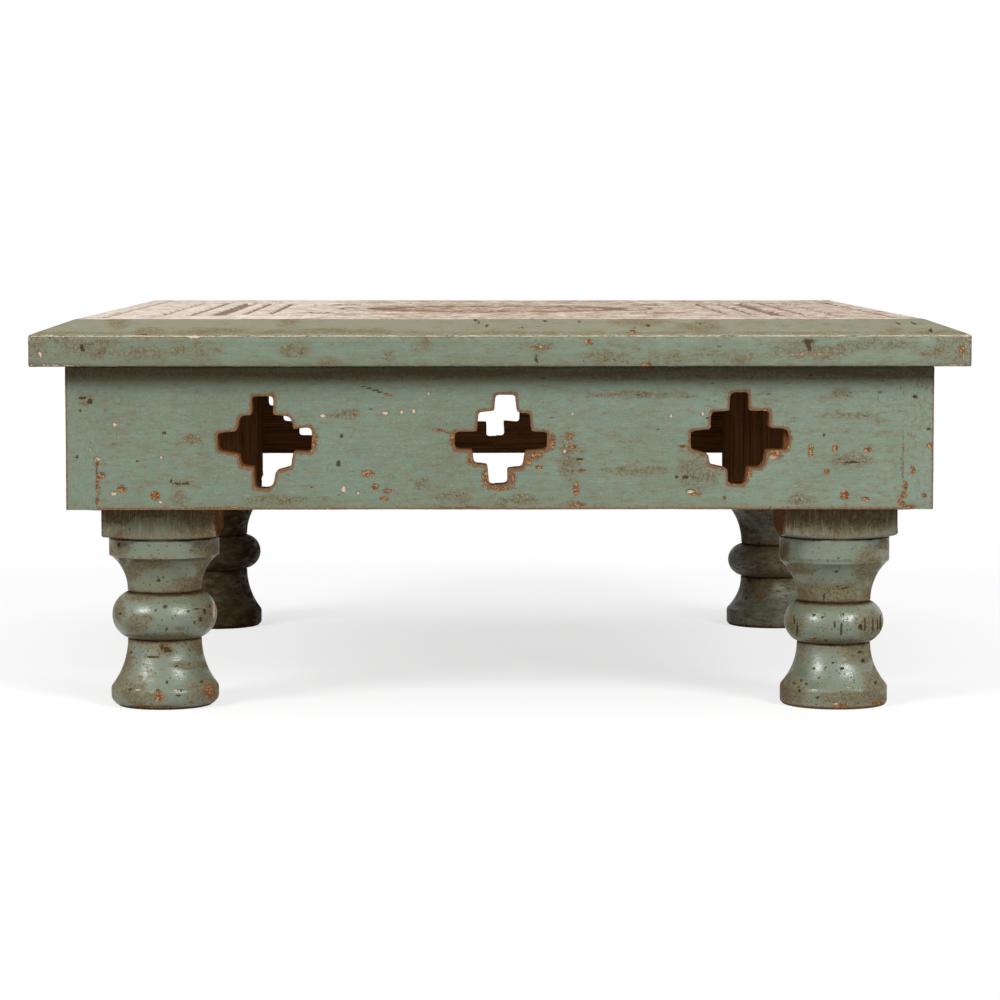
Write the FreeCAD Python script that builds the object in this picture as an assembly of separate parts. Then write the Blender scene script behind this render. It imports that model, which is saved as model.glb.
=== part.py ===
import FreeCAD, Part
import os
from math import atan2, cos, hypot, sin

# A low square table: a bevelled frame round a carved panel, four pierced aprons and four turned legs.
# It stands on the XY plane with its middle over the origin. +Z is up and the front faces -Y.
# Every length is in millimetres.

# The top's frame: four mitred rails with a bevelled edge and a groove for the panel
top_width = 600.0
top_depth = 600.0
edge_height = 20.4
bevel_rise = 10.0
bevel_run = 28.2
rail_width = 43.0
groove_depth = 6.5
groove_height = 7.4

# The panel: boards glued edge to edge, with a tongue round their outer edges
board_count = 3
board_thickness = 20.0
panel_gap = 0.8
tongue_height = 7.0
tongue_under = 6.0
tongue_end_clearance = 0.5

# The carving: square grooves round a round flower
carving_depth = 2.0
border_width = 105.0
border_groove_width = 5.0
border_groove_shares = (0.30, 0.49, 0.66, 0.81, 0.97)
border_groove_width_shares = (1.0, 0.8, 2.2, 0.8, 1.0)
flower_radius = 112.0
ring_groove_width = 3.0
ring_radius_shares = (1.0, 0.81, 0.5, 0.34)
outer_petal_count = 16
outer_petal_shares = (0.55, 0.77)
outer_petal_width = 17.0
inner_petal_count = 8
inner_petal_shares = (0.08, 0.31)
inner_petal_width = 15.0

# The aprons: boards on edge, the front and back ones set between the side ones
overhang = 20.6
apron_thickness = 20.0
apron_height = 92.9

# The cut-outs: stepped crosses, three to an apron
cutout_step_width = 12.9
cutout_step_height = 12.2
cutout_row_steps = (1, 3, 5, 3, 1)
cutout_pitch = 152.2
cutout_place_shares = (-0.984, 0.009, 1.016)
cutout_height_shares = (0.474, 0.480, 0.496)

# The legs: a square post inside each corner, turned below the aprons
post_side = 75.0
block_show = 21.3
shoulder_rise = 5.5
turned_height = 112.0
collar_radius = 36.6
collar_height = 13.0
lip_height = 2.6
lip_radius = 34.4
cove_radius = 33.0
neck_radius = 24.6
foot_radius = 35.8
foot_step = 1.0
foot_band_height = 13.2
foot_edge = 2.4
leg_side_shares = {
    "front_left": (-1, -1),
    "front_right": (1, -1),
    "back_left": (-1, 1),
    "back_right": (1, 1),
}
# The legs were turned by eye, so each has its bead at its own height and size.
bead_height_shares = {"front_left": 0.536, "front_right": 0.491, "back_left": 0.522, "back_right": 0.460}
bead_half_height_shares = {"front_left": 0.138, "front_right": 0.122, "back_left": 0.120, "back_right": 0.114}
bead_radius_shares = {"front_left": 0.972, "front_right": 0.928, "back_left": 0.980, "back_right": 0.930}

# The battens under the panel's boards
batten_width = 40.0
batten_thickness = 22.0
batten_place_share = 0.5
batten_end_clearance = 0.3

# Nails and screws
nail_radius = 1.5
nail_head_radius = 2.9
nail_head_height = 1.2
nail_tip = 4.0
apron_nail_length = 42.0
corner_nail_length = 46.0
top_nail_length = 52.0
top_nail_set = 1.5
top_nail_margin = 0.5
screw_radius = 2.0
screw_head_radius = 4.0
screw_head_height = 2.4
screw_length = 35.0
screw_tip = 5.0
screw_slot_width = 1.0
screw_slot_depth = 1.0
fastener_clearance = 0.05
post_nail_low = 9.5
post_nail_high = 21.0
post_nail_aside = 24.0
post_nail_stagger = 12.0
corner_nail_shares = (0.25, 0.72)
top_nail_pitch_shares = (-1.31, -0.5, 0.5, 1.31)

# How far a cutting tool runs past what it cuts
overrun = 2.0

# Heights and half sizes that follow from the sizes above
apron_low = turned_height + block_show
apron_high = apron_low + apron_height
edge_high = apron_high + edge_height
top_high = edge_high + bevel_rise
board_low = top_high - board_thickness
half_width = top_width / 2
half_depth = top_depth / 2
panel_half_width = half_width - rail_width
panel_half_depth = half_depth - rail_width
apron_half_width = half_width - overhang
apron_half_depth = half_depth - overhang
apron_inner_half_width = apron_half_width - apron_thickness
apron_inner_half_depth = apron_half_depth - apron_thickness
post_centre_x = apron_inner_half_width - post_side / 2
post_centre_y = apron_inner_half_depth - post_side / 2
top_nail_inset = bevel_run + top_nail_margin + nail_head_radius
up = FreeCAD.Vector(0, 0, 1)
quarter_turn = 90


def vector(x, y, z):
    return FreeCAD.Vector(x, y, z)


def box(low, high):
    size = [b - a for a, b in zip(low, high)]
    return Part.makeBox(*size, vector(*low))


def prism(outline, low, high):
    """A solid over an outline in X and Y, from one height to another."""
    points = [vector(x, y, low) for x, y in outline]
    face = Part.Face(Part.makePolygon(points + points[:1]))
    return face.extrude(vector(0, 0, high - low))


def revolved(edges):
    """A solid turned about Z from edges in the XZ plane that close along the axis."""
    return Part.Face(Part.Wire(edges)).revolve(vector(0, 0, 0), up)


def line(start, end):
    return Part.LineSegment(vector(start[0], 0, start[1]), vector(end[0], 0, end[1])).toShape()


def lines(points):
    return [line(a, b) for a, b in zip(points, points[1:])]


def arc(start, middle, end):
    points = [vector(x, 0, z) for x, z in (start, middle, end)]
    return Part.Arc(*points).toShape()


def flare(narrow, wide):
    """The middle of an arc that leaves the narrow point upright and reaches the wide one."""
    run = wide[0] - narrow[0]
    rise = wide[1] - narrow[1]
    radius = (run ** 2 + rise ** 2) / (2 * run)
    half_angle = atan2(rise, radius - run) / 2
    return narrow[0] + radius * (1 - cos(half_angle)), narrow[1] + radius * sin(half_angle)


def turned(shape, quarters):
    """A copy of a shape, turned about the table's middle by quarter turns."""
    copy = shape.copy()
    copy.rotate(vector(0, 0, 0), up, quarters * quarter_turn)
    return copy


def aimed(shape, place, direction):
    """A copy of a shape made along Z, moved to a place and aimed along a direction."""
    copy = shape.copy()
    copy.Placement = FreeCAD.Placement(vector(*place), FreeCAD.Rotation(up, vector(*direction)))
    return copy


def write(node, shape):
    shape.exportStep("parts/" + node + ".step")


def nail(length):
    """A round nail that points down, with the top of its head at the origin."""
    outline = [
        (0, 0),
        (nail_head_radius, 0),
        (nail_head_radius, -nail_head_height),
        (nail_radius, -nail_head_height),
        (nail_radius, nail_tip - length),
        (0, -length),
        (0, 0),
    ]
    return revolved(lines(outline))


def nail_hole(length):
    """The hole that a nail fills, open above its head."""
    head = nail_head_radius + fastener_clearance
    shank = nail_radius + fastener_clearance
    end = -length - fastener_clearance
    outline = [
        (0, overrun),
        (head, overrun),
        (head, -nail_head_height),
        (shank, -nail_head_height),
        (shank, end),
        (0, end),
        (0, overrun),
    ]
    return revolved(lines(outline))


def screw():
    """A countersunk wood screw that points down, with the top of its slotted head at the origin."""
    outline = [
        (0, 0),
        (screw_head_radius, 0),
        (screw_radius, -screw_head_height),
        (screw_radius, screw_tip - screw_length),
        (0, -screw_length),
        (0, 0),
    ]
    slot = box(
        (-screw_head_radius - overrun, -screw_slot_width / 2, -screw_slot_depth),
        (screw_head_radius + overrun, screw_slot_width / 2, overrun),
    )
    return revolved(lines(outline)).cut(slot)


def screw_hole():
    """The hole that a screw fills, open below its head."""
    head = screw_head_radius + fastener_clearance
    shank = screw_radius + fastener_clearance
    end = -screw_length - fastener_clearance
    outline = [
        (0, overrun),
        (head, overrun),
        (head, 0),
        (shank, -screw_head_height),
        (shank, end),
        (0, end),
        (0, overrun),
    ]
    return revolved(lines(outline))


def post_nail_places():
    """Nails through each apron into the posts: each place and the way out of the wood."""
    places = []
    low = apron_low + post_nail_low
    high = apron_high - post_nail_high
    for side_x, side_y in leg_side_shares.values():
        x = side_x * post_centre_x
        y = side_y * post_centre_y
        outer_x = side_x * (post_centre_x + post_nail_aside)
        outer_y = side_y * (post_centre_y + post_nail_aside)
        face_x = side_x * apron_half_width
        face_y = side_y * apron_half_depth
        places.append(((x, face_y, low), (0, side_y, 0)))
        places.append(((outer_x, face_y, high), (0, side_y, 0)))
        places.append(((face_x, y, low), (side_x, 0, 0)))
        places.append(((face_x, outer_y, high - post_nail_stagger), (side_x, 0, 0)))
    return places


def corner_nail_places():
    """Nails through the side aprons into the ends of the front and back ones."""
    places = []
    for side_x, side_y in leg_side_shares.values():
        y = side_y * (apron_half_depth - apron_thickness / 2)
        for share in corner_nail_shares:
            z = apron_low + share * apron_height
            places.append(((side_x * apron_half_width, y, z), (side_x, 0, 0)))
    return places


def top_nail_places():
    """Nails down through the flat of the rails into the aprons, punched below the surface."""
    places = []
    z = top_high - top_nail_set
    for share in top_nail_pitch_shares:
        for side in (-1, 1):
            along = share * cutout_pitch
            places.append(((along, side * (half_depth - top_nail_inset), z), (0, 0, 1)))
            places.append(((side * (half_width - top_nail_inset), along, z), (0, 0, 1)))
    return places


def batten_screw_places():
    """Screws up through the battens, one into the middle of each board."""
    places = []
    board_width = 2 * panel_half_depth / board_count
    for side in (-1, 1):
        for index in range(board_count):
            y = (index + 0.5) * board_width - panel_half_depth
            z = board_low - batten_thickness
            places.append(((side * batten_place_share * cutout_pitch, y, z), (0, 0, -1)))
    return places


def group(shape, places):
    return Part.makeCompound([aimed(shape, place, direction) for place, direction in places])


def frame_rail(length, reach):
    """A rail along X at the front of a frame whose outer face is at -Y = reach."""
    inner = -reach + rail_width
    section = [
        (-reach, apron_high),
        (-reach, edge_high),
        (-reach + bevel_run, top_high),
        (inner, top_high),
        (inner, apron_high),
    ]
    points = [vector(-length / 2, y, z) for y, z in section]
    rail = Part.Face(Part.makePolygon(points + points[:1])).extrude(vector(length, 0, 0))
    groove_low = board_low + tongue_under
    groove = box(
        (-length / 2, inner - groove_depth, groove_low),
        (length / 2, inner + overrun, groove_low + groove_height),
    )
    rail = rail.cut(groove)
    past = rail_width + overrun
    for side in (-1, 1):
        mitre = [
            (side * length / 2, -reach),
            (side * (length / 2 - past), -reach + past),
            (side * (length / 2 + past), -reach + past),
            (side * (length / 2 + past), -reach),
        ]
        rail = rail.cut(prism(mitre, apron_high - overrun, top_high + overrun))
    return rail


def square_groove(inset, width):
    """A groove round the panel, its middle line at an inset from the frame."""
    low = top_high - carving_depth
    high = top_high + overrun
    outer_x = panel_half_width - inset + width / 2
    outer_y = panel_half_depth - inset + width / 2
    outer = box((-outer_x, -outer_y, low), (outer_x, outer_y, high))
    inner_x = outer_x - width
    inner_y = outer_y - width
    return outer.cut(box((-inner_x, -inner_y, low), (inner_x, inner_y, high)))


def ring_groove(radius, width):
    low = top_high - carving_depth
    height = carving_depth + overrun
    outer = Part.makeCylinder(radius + width / 2, height, vector(0, 0, low))
    return outer.cut(Part.makeCylinder(radius - width / 2, height, vector(0, 0, low)))


def petals(count, shares, width):
    """Scooped petals round the flower's middle, each a pointed leaf between two radii."""
    start = vector(shares[0] * flower_radius, 0, top_high - carving_depth)
    end = vector(shares[1] * flower_radius, 0, top_high - carving_depth)
    middle = (start + end) / 2
    side = vector(0, width / 2, 0)
    edges = [Part.Arc(start, middle - side, end).toShape(), Part.Arc(end, middle + side, start).toShape()]
    petal = Part.Face(Part.Wire(edges)).extrude(vector(0, 0, carving_depth + overrun))
    copies = []
    for index in range(count):
        copy = petal.copy()
        copy.rotate(vector(0, 0, 0), up, index * 4 * quarter_turn / count)
        copies.append(copy)
    return copies


def carving():
    """Everything that is carved out of the panel's boards."""
    tools = []
    for share, width_share in zip(border_groove_shares, border_groove_width_shares):
        tools.append(square_groove(share * border_width, width_share * border_groove_width))
    for share in ring_radius_shares:
        tools.append(ring_groove(share * flower_radius, ring_groove_width))
    tools += petals(outer_petal_count, outer_petal_shares, outer_petal_width)
    tools += petals(inner_petal_count, inner_petal_shares, inner_petal_width)
    return tools


def panel_board(index):
    """A board of the panel, counted from the front, with its tongues."""
    reach_x = panel_half_width - panel_gap
    reach_y = panel_half_depth - panel_gap
    tongue = panel_gap + groove_depth - tongue_end_clearance
    width = 2 * panel_half_depth / board_count
    first = index == 0
    last = index == board_count - 1
    low_y = index * width - panel_half_depth
    high_y = low_y + width
    core_low = -reach_y if first else low_y
    core_high = reach_y if last else high_y
    tongue_low = core_low - tongue if first else core_low
    tongue_high = core_high + tongue if last else core_high
    core = box((-reach_x, core_low, board_low), (reach_x, core_high, top_high))
    tongue_base = board_low + tongue_under
    rim = box(
        (-reach_x - tongue, tongue_low, tongue_base),
        (reach_x + tongue, tongue_high, tongue_base + tongue_height),
    )
    return core.fuse(rim).removeSplitter()


def cutout_outline(centre, height):
    """The stepped cross, as points along X and Z round its centre."""
    rows = len(cutout_row_steps)
    right = []
    for row, steps in enumerate(cutout_row_steps):
        half = steps * cutout_step_width / 2
        for edge in (row, row + 1):
            right.append((half, (rows / 2 - edge) * cutout_step_height))
    left = [(-x, z) for x, z in reversed(right)]
    return [(centre + x, height + z) for x, z in right + left]


def apron(length, reach):
    """An apron along X whose outer face is at -Y = reach, pierced by the cut-outs."""
    board = box((-length / 2, -reach, apron_low), (length / 2, -reach + apron_thickness, apron_high))
    for place, height in zip(cutout_place_shares, cutout_height_shares):
        centre = place * cutout_pitch
        outline = cutout_outline(centre, apron_low + height * apron_height)
        points = [vector(x, -reach - overrun, z) for x, z in outline]
        face = Part.Face(Part.makePolygon(points + points[:1]))
        board = board.cut(face.extrude(vector(0, apron_thickness + 2 * overrun, 0)))
    return board


def leg(corner):
    """A turned leg and the square post above it, one piece of wood."""
    bead = bead_height_shares[corner] * turned_height
    half = bead_half_height_shares[corner] * turned_height
    bead_low = bead - half
    bead_high = bead + half
    bead_radius = bead_radius_shares[corner] * foot_radius
    collar_low = turned_height - collar_height
    lip_low = collar_low - lip_height
    bell = (foot_radius - foot_step, foot_band_height)
    neck_low = (neck_radius, bead_low)
    neck_high = (neck_radius, bead_high)
    cove = (cove_radius, lip_low)
    foot = [
        (0, 0),
        (foot_radius - foot_edge, 0),
        (foot_radius, foot_edge),
        (foot_radius, foot_band_height),
        bell,
    ]
    collar = [
        cove,
        (lip_radius, lip_low),
        (collar_radius, collar_low),
        (collar_radius, turned_height),
        (0, turned_height),
        (0, 0),
    ]
    edges = lines(foot)
    edges.append(arc(bell, flare(neck_low, bell), neck_low))
    edges.append(arc(neck_low, (bead_radius, bead), neck_high))
    edges.append(arc(neck_high, flare(neck_high, cove), cove))
    edges += lines(collar)
    turning = revolved(edges)
    turning.translate(vector(*post_centre(corner), 0))
    return turning.fuse(post(corner)).removeSplitter()


def post_centre(corner):
    side_x, side_y = leg_side_shares[corner]
    return side_x * post_centre_x, side_y * post_centre_y


def post(corner):
    """The square post, its lower corners turned away by the lathe."""
    half = post_side / 2
    square = box((-half, -half, turned_height), (half, half, apron_high))
    corner_radius = hypot(half, half) + overrun
    outline = [
        (0, turned_height),
        (half, turned_height),
        (corner_radius, turned_height + shoulder_rise),
        (corner_radius, apron_high),
        (0, apron_high),
        (0, turned_height),
    ]
    square = square.common(revolved(lines(outline)))
    square.translate(vector(*post_centre(corner), 0))
    return square


def batten(side):
    """A batten across the boards, between the rails."""
    x = side * batten_place_share * cutout_pitch
    reach = panel_half_depth - batten_end_clearance
    return box(
        (x - batten_width / 2, -reach, board_low - batten_thickness),
        (x + batten_width / 2, reach, board_low),
    )


def write_top():
    nail_holes = group(nail_hole(top_nail_length), top_nail_places())
    across = frame_rail(top_width, half_depth)
    along = frame_rail(top_depth, half_width)
    write("top_rail_front", across.cut(nail_holes))
    write("top_rail_right", turned(along, 1).cut(nail_holes))
    write("top_rail_back", turned(across, 2).cut(nail_holes))
    write("top_rail_left", turned(along, 3).cut(nail_holes))
    screw_holes = group(screw_hole(), batten_screw_places())
    carved = carving()
    for index in range(board_count):
        board = panel_board(index).cut(carved)
        write("panel_board_%d" % (index + 1), board.cut(screw_holes))
    write("batten_left", batten(-1).cut(screw_holes))
    write("batten_right", batten(1).cut(screw_holes))
    write("top_nails", group(nail(top_nail_length), top_nail_places()))
    write("batten_screws", group(screw(), batten_screw_places()))


def write_base():
    post_holes = group(nail_hole(apron_nail_length), post_nail_places())
    corner_holes = group(nail_hole(corner_nail_length), corner_nail_places())
    top_holes = group(nail_hole(top_nail_length), top_nail_places())
    holes = [post_holes, corner_holes, top_holes]
    across = apron(2 * apron_inner_half_width, apron_half_depth)
    along = apron(2 * apron_half_depth, apron_half_width)
    write("apron_front", across.cut(holes))
    write("apron_right", turned(along, 1).cut(holes))
    write("apron_back", turned(across, 2).cut(holes))
    write("apron_left", turned(along, 3).cut(holes))
    for corner in leg_side_shares:
        write("leg_" + corner, leg(corner).cut(post_holes))
    write("post_nails", group(nail(apron_nail_length), post_nail_places()))
    write("corner_nails", group(nail(corner_nail_length), corner_nail_places()))


os.makedirs("parts", exist_ok=True)
write_top()
write_base()
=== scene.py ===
from cmath import phase, rect
from functools import reduce
from math import atan2, ceil, cos, hypot, pi, radians, sin, sqrt
from types import SimpleNamespace

import bmesh
import bpy
import numpy as np
from bpy.props import FloatProperty, FloatVectorProperty, IntProperty, PointerProperty
from mathutils import Euler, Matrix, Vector


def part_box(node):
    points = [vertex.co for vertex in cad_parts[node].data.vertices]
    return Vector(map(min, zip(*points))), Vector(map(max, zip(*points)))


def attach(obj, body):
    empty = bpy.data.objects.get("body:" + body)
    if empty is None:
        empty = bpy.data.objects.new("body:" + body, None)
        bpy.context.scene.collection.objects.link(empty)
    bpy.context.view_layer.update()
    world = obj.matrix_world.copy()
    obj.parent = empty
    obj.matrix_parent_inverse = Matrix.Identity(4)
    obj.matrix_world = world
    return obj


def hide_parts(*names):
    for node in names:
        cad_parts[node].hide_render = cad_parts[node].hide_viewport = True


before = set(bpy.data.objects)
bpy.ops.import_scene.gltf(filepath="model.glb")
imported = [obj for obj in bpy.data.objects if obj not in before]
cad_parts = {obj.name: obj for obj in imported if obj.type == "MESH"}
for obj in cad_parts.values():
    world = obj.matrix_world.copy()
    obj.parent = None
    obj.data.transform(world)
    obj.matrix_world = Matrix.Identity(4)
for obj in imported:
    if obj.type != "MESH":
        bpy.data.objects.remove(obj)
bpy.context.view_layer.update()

bl_info = {
    "name": "Bajot low table",
    "version": (1, 0, 0),
    "blender": (4, 5, 0),
    "location": "3D View > Sidebar > Bajot",
    "description": "Builds a carved and painted low table round its packed frame",
    "category": "Object",
}

# A low square table in metres, on the XY plane with its middle over the origin. The front faces -Y.

# Places and sizes read off the frame
mm = 0.001
tolerance = mm / 100
rail_box_low, rail_box_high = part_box("top_rail_front")
apron_box_low, apron_box_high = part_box("apron_front")
side_box_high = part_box("apron_right")[1]
batten_box_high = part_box("batten_left")[1]
board_boxes = [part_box("panel_board_" + number) for number in "123"]
top_reach = rail_box_high.x
top_level = rail_box_high.z
rail_low = rail_box_low.z
rail_inner = -rail_box_high.y
apron_low = apron_box_low.z
apron_high = apron_box_high.z
apron_reach = -apron_box_low.y
apron_inner = -apron_box_high.y
apron_thickness = apron_reach - apron_inner
board_low = batten_box_high.z
corner_names = ("front_left", "front_right", "back_left", "back_right")
side_names = ("front", "right", "back", "left")


def per_leg(*values):
    return dict(zip(corner_names, values))


# The cut-outs of the front apron, cut by hand. Each corner is in steps from the cut-out's middle.
front_cutout_corner_shares = (
    (
        (-0.70, 2.37), (0.28, 2.38), (0.26, 1.39), (1.07, 1.31), (1.21, 1.07), (1.26, 0.62),
        (2.10, 0.74), (2.19, 0.60), (2.16, -0.50), (1.26, -0.48), (1.15, -1.31), (0.40, -1.52),
        (0.28, -2.17), (0.07, -2.45), (-0.60, -2.41), (-0.67, -1.31), (-1.29, -1.26),
        (-1.41, -0.65), (-2.43, -0.42), (-2.46, 0.42), (-1.50, 0.54), (-1.32, 1.31), (-0.74, 1.39),
    ),
    (
        (-0.32, 2.41), (0.61, 2.41), (0.71, 1.49), (1.33, 1.41), (1.42, 0.48), (2.21, 0.43),
        (2.21, -0.43), (1.13, -0.54), (0.99, -1.40), (0.23, -1.45), (0.23, -2.26), (-0.63, -2.34),
        (-0.73, -1.25), (-1.40, -1.20), (-1.49, -0.46), (-2.35, -0.43), (-2.35, 0.43),
        (-1.25, 0.48), (-1.16, 1.49), (-0.39, 1.57),
    ),
    (
        (-0.48, 2.39), (0.33, 2.42), (0.40, 1.42), (1.38, 1.45), (1.43, 0.51), (2.29, 0.46),
        (2.43, 0.00), (2.31, -0.56), (1.29, -0.61), (1.19, -1.31), (1.00, -1.52), (0.38, -1.52),
        (0.26, -2.21), (0.11, -2.41), (-0.57, -2.37), (-0.62, -1.57), (-1.48, -1.37),
        (-1.57, -0.81), (-2.43, -0.56), (-2.48, 0.35), (-1.48, 0.46), (-1.43, 1.37), (-0.53, 1.42),
    ),
)
# The other aprons' cut-outs are plain stepped crosses: half widths in steps, from the top row down
cutout_row_shares = (0.5, 1.5, 2.5, 1.5, 0.5)
cutout_stray_share = 0.07
cutout_place_shares = (-0.984, 0.009, 1.016)
cutout_height_shares = (0.474, 0.480, 0.496)
back_cutout_place_shares = (-0.984, -0.016, 0.976)
back_cutout_height_shares = (0.474, 0.474, 0.477)

# The carving's square grooves, as shares of the border, and its flower, as shares of the flower's radius
border_groove_shares = (0.30, 0.49, 0.66, 0.81, 0.97)
border_groove_width_shares = (1.0, 0.8, 2.2, 0.8, 1.0)
ring_radius_shares = (1.0, 0.81, 0.5, 0.34)
# How strongly painted shade darkens the panel along each ring
ring_shade_shares = (0.62, 0.92, 0.70, 0.62)
outer_petal_shares = (0.55, 0.77)
between_petal_shares = (0.66, 0.80)
between_petal_width_share = 0.4
inner_petal_shares = (0.08, 0.31)
corner_leaf_shares = (1.14, 1.62)
leaf_root_share = 0.16
leaf_fall_share = 0.7
leaf_spread = radians(100)
# How deep each kind of cut goes, as a share of the full depth
cut_depth_shares = {"ring": 0.9, "between": 0.7, "corner": 0.8}

# Each leg was turned by eye, so its bead has a height, half height and radius of its own.
bead_height_shares = per_leg(0.536, 0.491, 0.522, 0.460)
bead_half_height_shares = per_leg(0.138, 0.122, 0.120, 0.114)
bead_radius_shares = per_leg(0.972, 0.928, 0.980, 0.975)
foot_round_shares = per_leg(2.8, 1.0, 1.5, 1.2)
collar_height_shares = per_leg(1.0, 1.23, 1.0, 1.2)
cove_radius_shares = per_leg(1.0, 1.05, 1.0, 1.05)
shoulder_rise_shares = per_leg(0.35, 0.6, 0.6, 0.6)
# How far a leg's turning stands off its post's middle, to the right, as a share of the foot's radius
turning_shift_shares = per_leg(0.01, 0.0, 0.062, 0.0)
# Painted shade on the faces of the back legs that show under the table, laid in as olive brown and as dark
# brown
rear_shade_shares = per_leg(0.0, 0.0, 0.9, 0.42)
rear_dark_shade_shares = per_leg(0.0, 0.0, 0.72, 0.52)

# Marks seen in the photograph, each as the column, row, half width and half height of an ellipse in its
# pixels. A fifth number is how far a slanted one falls for each pixel to the right.
picture_side = 1000
# A mark is gone at this many times its radius
mark_end_share = 1.5
# A mark is the stronger, the smaller it is beside this area in pixels
small_mark_area = 4
# Marks fade on a face that is seen edge on, between these shares of the way to facing the camera
edge_on_shares = (0.02, 0.15)
apron_marks = {"bare": (
    (101, 475.5, 5, 3.5), (97.3, 463, 2, 6), (97.3, 483, 1.2, 12), (97.5, 501, 1.4, 5), (122, 489, 5, 4),
    (155, 495.6, 4, 4), (314.6, 440.5, 4, 11), (367, 473, 7, 3.5), (375, 487, 4, 3), (387, 491.4, 5, 2.5),
    (384.6, 499, 5, 2.5), (388, 395, 4, 1.3, 0.34), (441, 430.7, 12, 1.5, 0.2), (452.4, 440, 3.4, 9),
    (470.5, 459, 4, 7), (486, 478, 5, 9), (500, 488.6, 15, 2.6), (552.4, 441.5, 4, 10), (536, 455, 9, 6),
    (528, 461, 5, 6), (512.5, 478, 4, 9), (538.7, 467, 4, 1.8), (570, 436, 4, 2), (573, 447, 4.5, 2.4),
    (581.7, 470.4, 4, 1.8), (576, 489.5, 3.6, 7), (577, 505, 10, 2), (788, 443.6, 2.5, 6),
    (810.7, 451.2, 3, 7), (835, 448, 3, 3), (868, 450, 4, 3), (827, 472, 3, 3), (913, 470.4, 2.5, 4),
    (929.4, 445.5, 3, 3), (905.5, 485.7, 2.5, 5), (903.5, 495.3, 3.6, 3), (900.7, 502.5, 4, 3),
    (909.3, 507, 8, 2.5), (924.2, 495.6, 2, 3), (866, 499, 3.5, 2.4), (902.6, 440, 0.9, 44),
    (694, 494, 4, 1.8), (724.6, 498, 2, 2), (683, 446.4, 5, 1.6), (775, 455, 9, 5), (749.4, 474, 3, 3),
    (455, 507.5, 30, 1.2), (220, 507.5, 40, 1.2),
), "primer": (
    (97, 459.5, 3.5, 3.5), (113.6, 493.7, 4, 1.6), (160.5, 502, 2, 2), (114.6, 424.4, 2.4, 2.4),
    (118.4, 437.4, 1.3, 1.3), (90.6, 449.3, 1.3, 1.3), (323, 415.8, 3.4, 2), (401.8, 411.6, 2, 2),
    (413.7, 411, 2, 3), (385.5, 413, 4, 2), (428.6, 393.8, 2, 2), (343.8, 489.5, 2.5, 3.5),
    (357.8, 493.3, 2, 2), (388, 491, 3.4, 1.6), (376, 486, 2.4, 1.8), (572.7, 413.5, 1.6, 1.6),
    (564.5, 451.2, 2, 2), (702.5, 413.5, 2, 2), (671, 415.8, 2, 2), (690.5, 492, 4, 1.8),
    (773, 457, 5, 2.6), (828, 497.2, 1.4, 1.4), (543.4, 402.4, 1.3, 1.3), (368, 472, 3.4, 1.6),
    (98.5, 474, 2, 1.6), (161.5, 457.4, 2, 2), (902.2, 436, 0.8, 30),
), "stain": (
    (86, 400, 10, 6), (182.5, 484, 14, 5), (178.7, 499, 12, 9), (193, 439.7, 10, 7), (421.9, 484.7, 9, 8),
    (454, 497, 18, 8), (853.8, 460.8, 24, 8), (842, 394, 14, 6), (853.8, 415.8, 26, 4), (802, 499, 18, 7),
    (570, 455, 12, 30), (345, 415, 18, 5), (640, 470, 40, 5), (700, 470, 24, 18), (285, 500, 40, 5),
    (640, 395, 60, 4), (520, 500, 30, 6),
), "pit": (
    (89.7, 401.5, 3, 2.6), (82, 398, 4, 1.6), (115.5, 398.6, 2, 2), (80, 410.6, 1.6, 1.6),
    (164.3, 433, 2, 1.6), (77.2, 457, 1.6, 1.6), (137.5, 461.2, 1.6, 1.6), (171, 481, 1.6, 1.6),
    (182, 484, 9, 1.4), (341.5, 436, 2, 1.6), (338.6, 463.7, 2, 3.6), (579.8, 459, 4, 1),
    (676.7, 477, 2, 1.6), (685.3, 477.5, 3.4, 1.8), (691, 490.5, 5, 1.6), (902.6, 393, 1.2, 5),
    (915, 396.7, 2.6, 1.8), (824, 435, 1.6, 1.6), (928.4, 429, 2.4, 1.6), (903.6, 494, 2, 3),
    (778, 451, 4, 1.6), (573, 447.4, 3, 1.2), (708.3, 418.3, 3, 0.9), (374, 390, 15, 1.1, 0.34),
    (438, 430, 9, 0.9, 0.2), (850, 462, 10, 1.2), (97.4, 470, 1.1, 14),
)}
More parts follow.
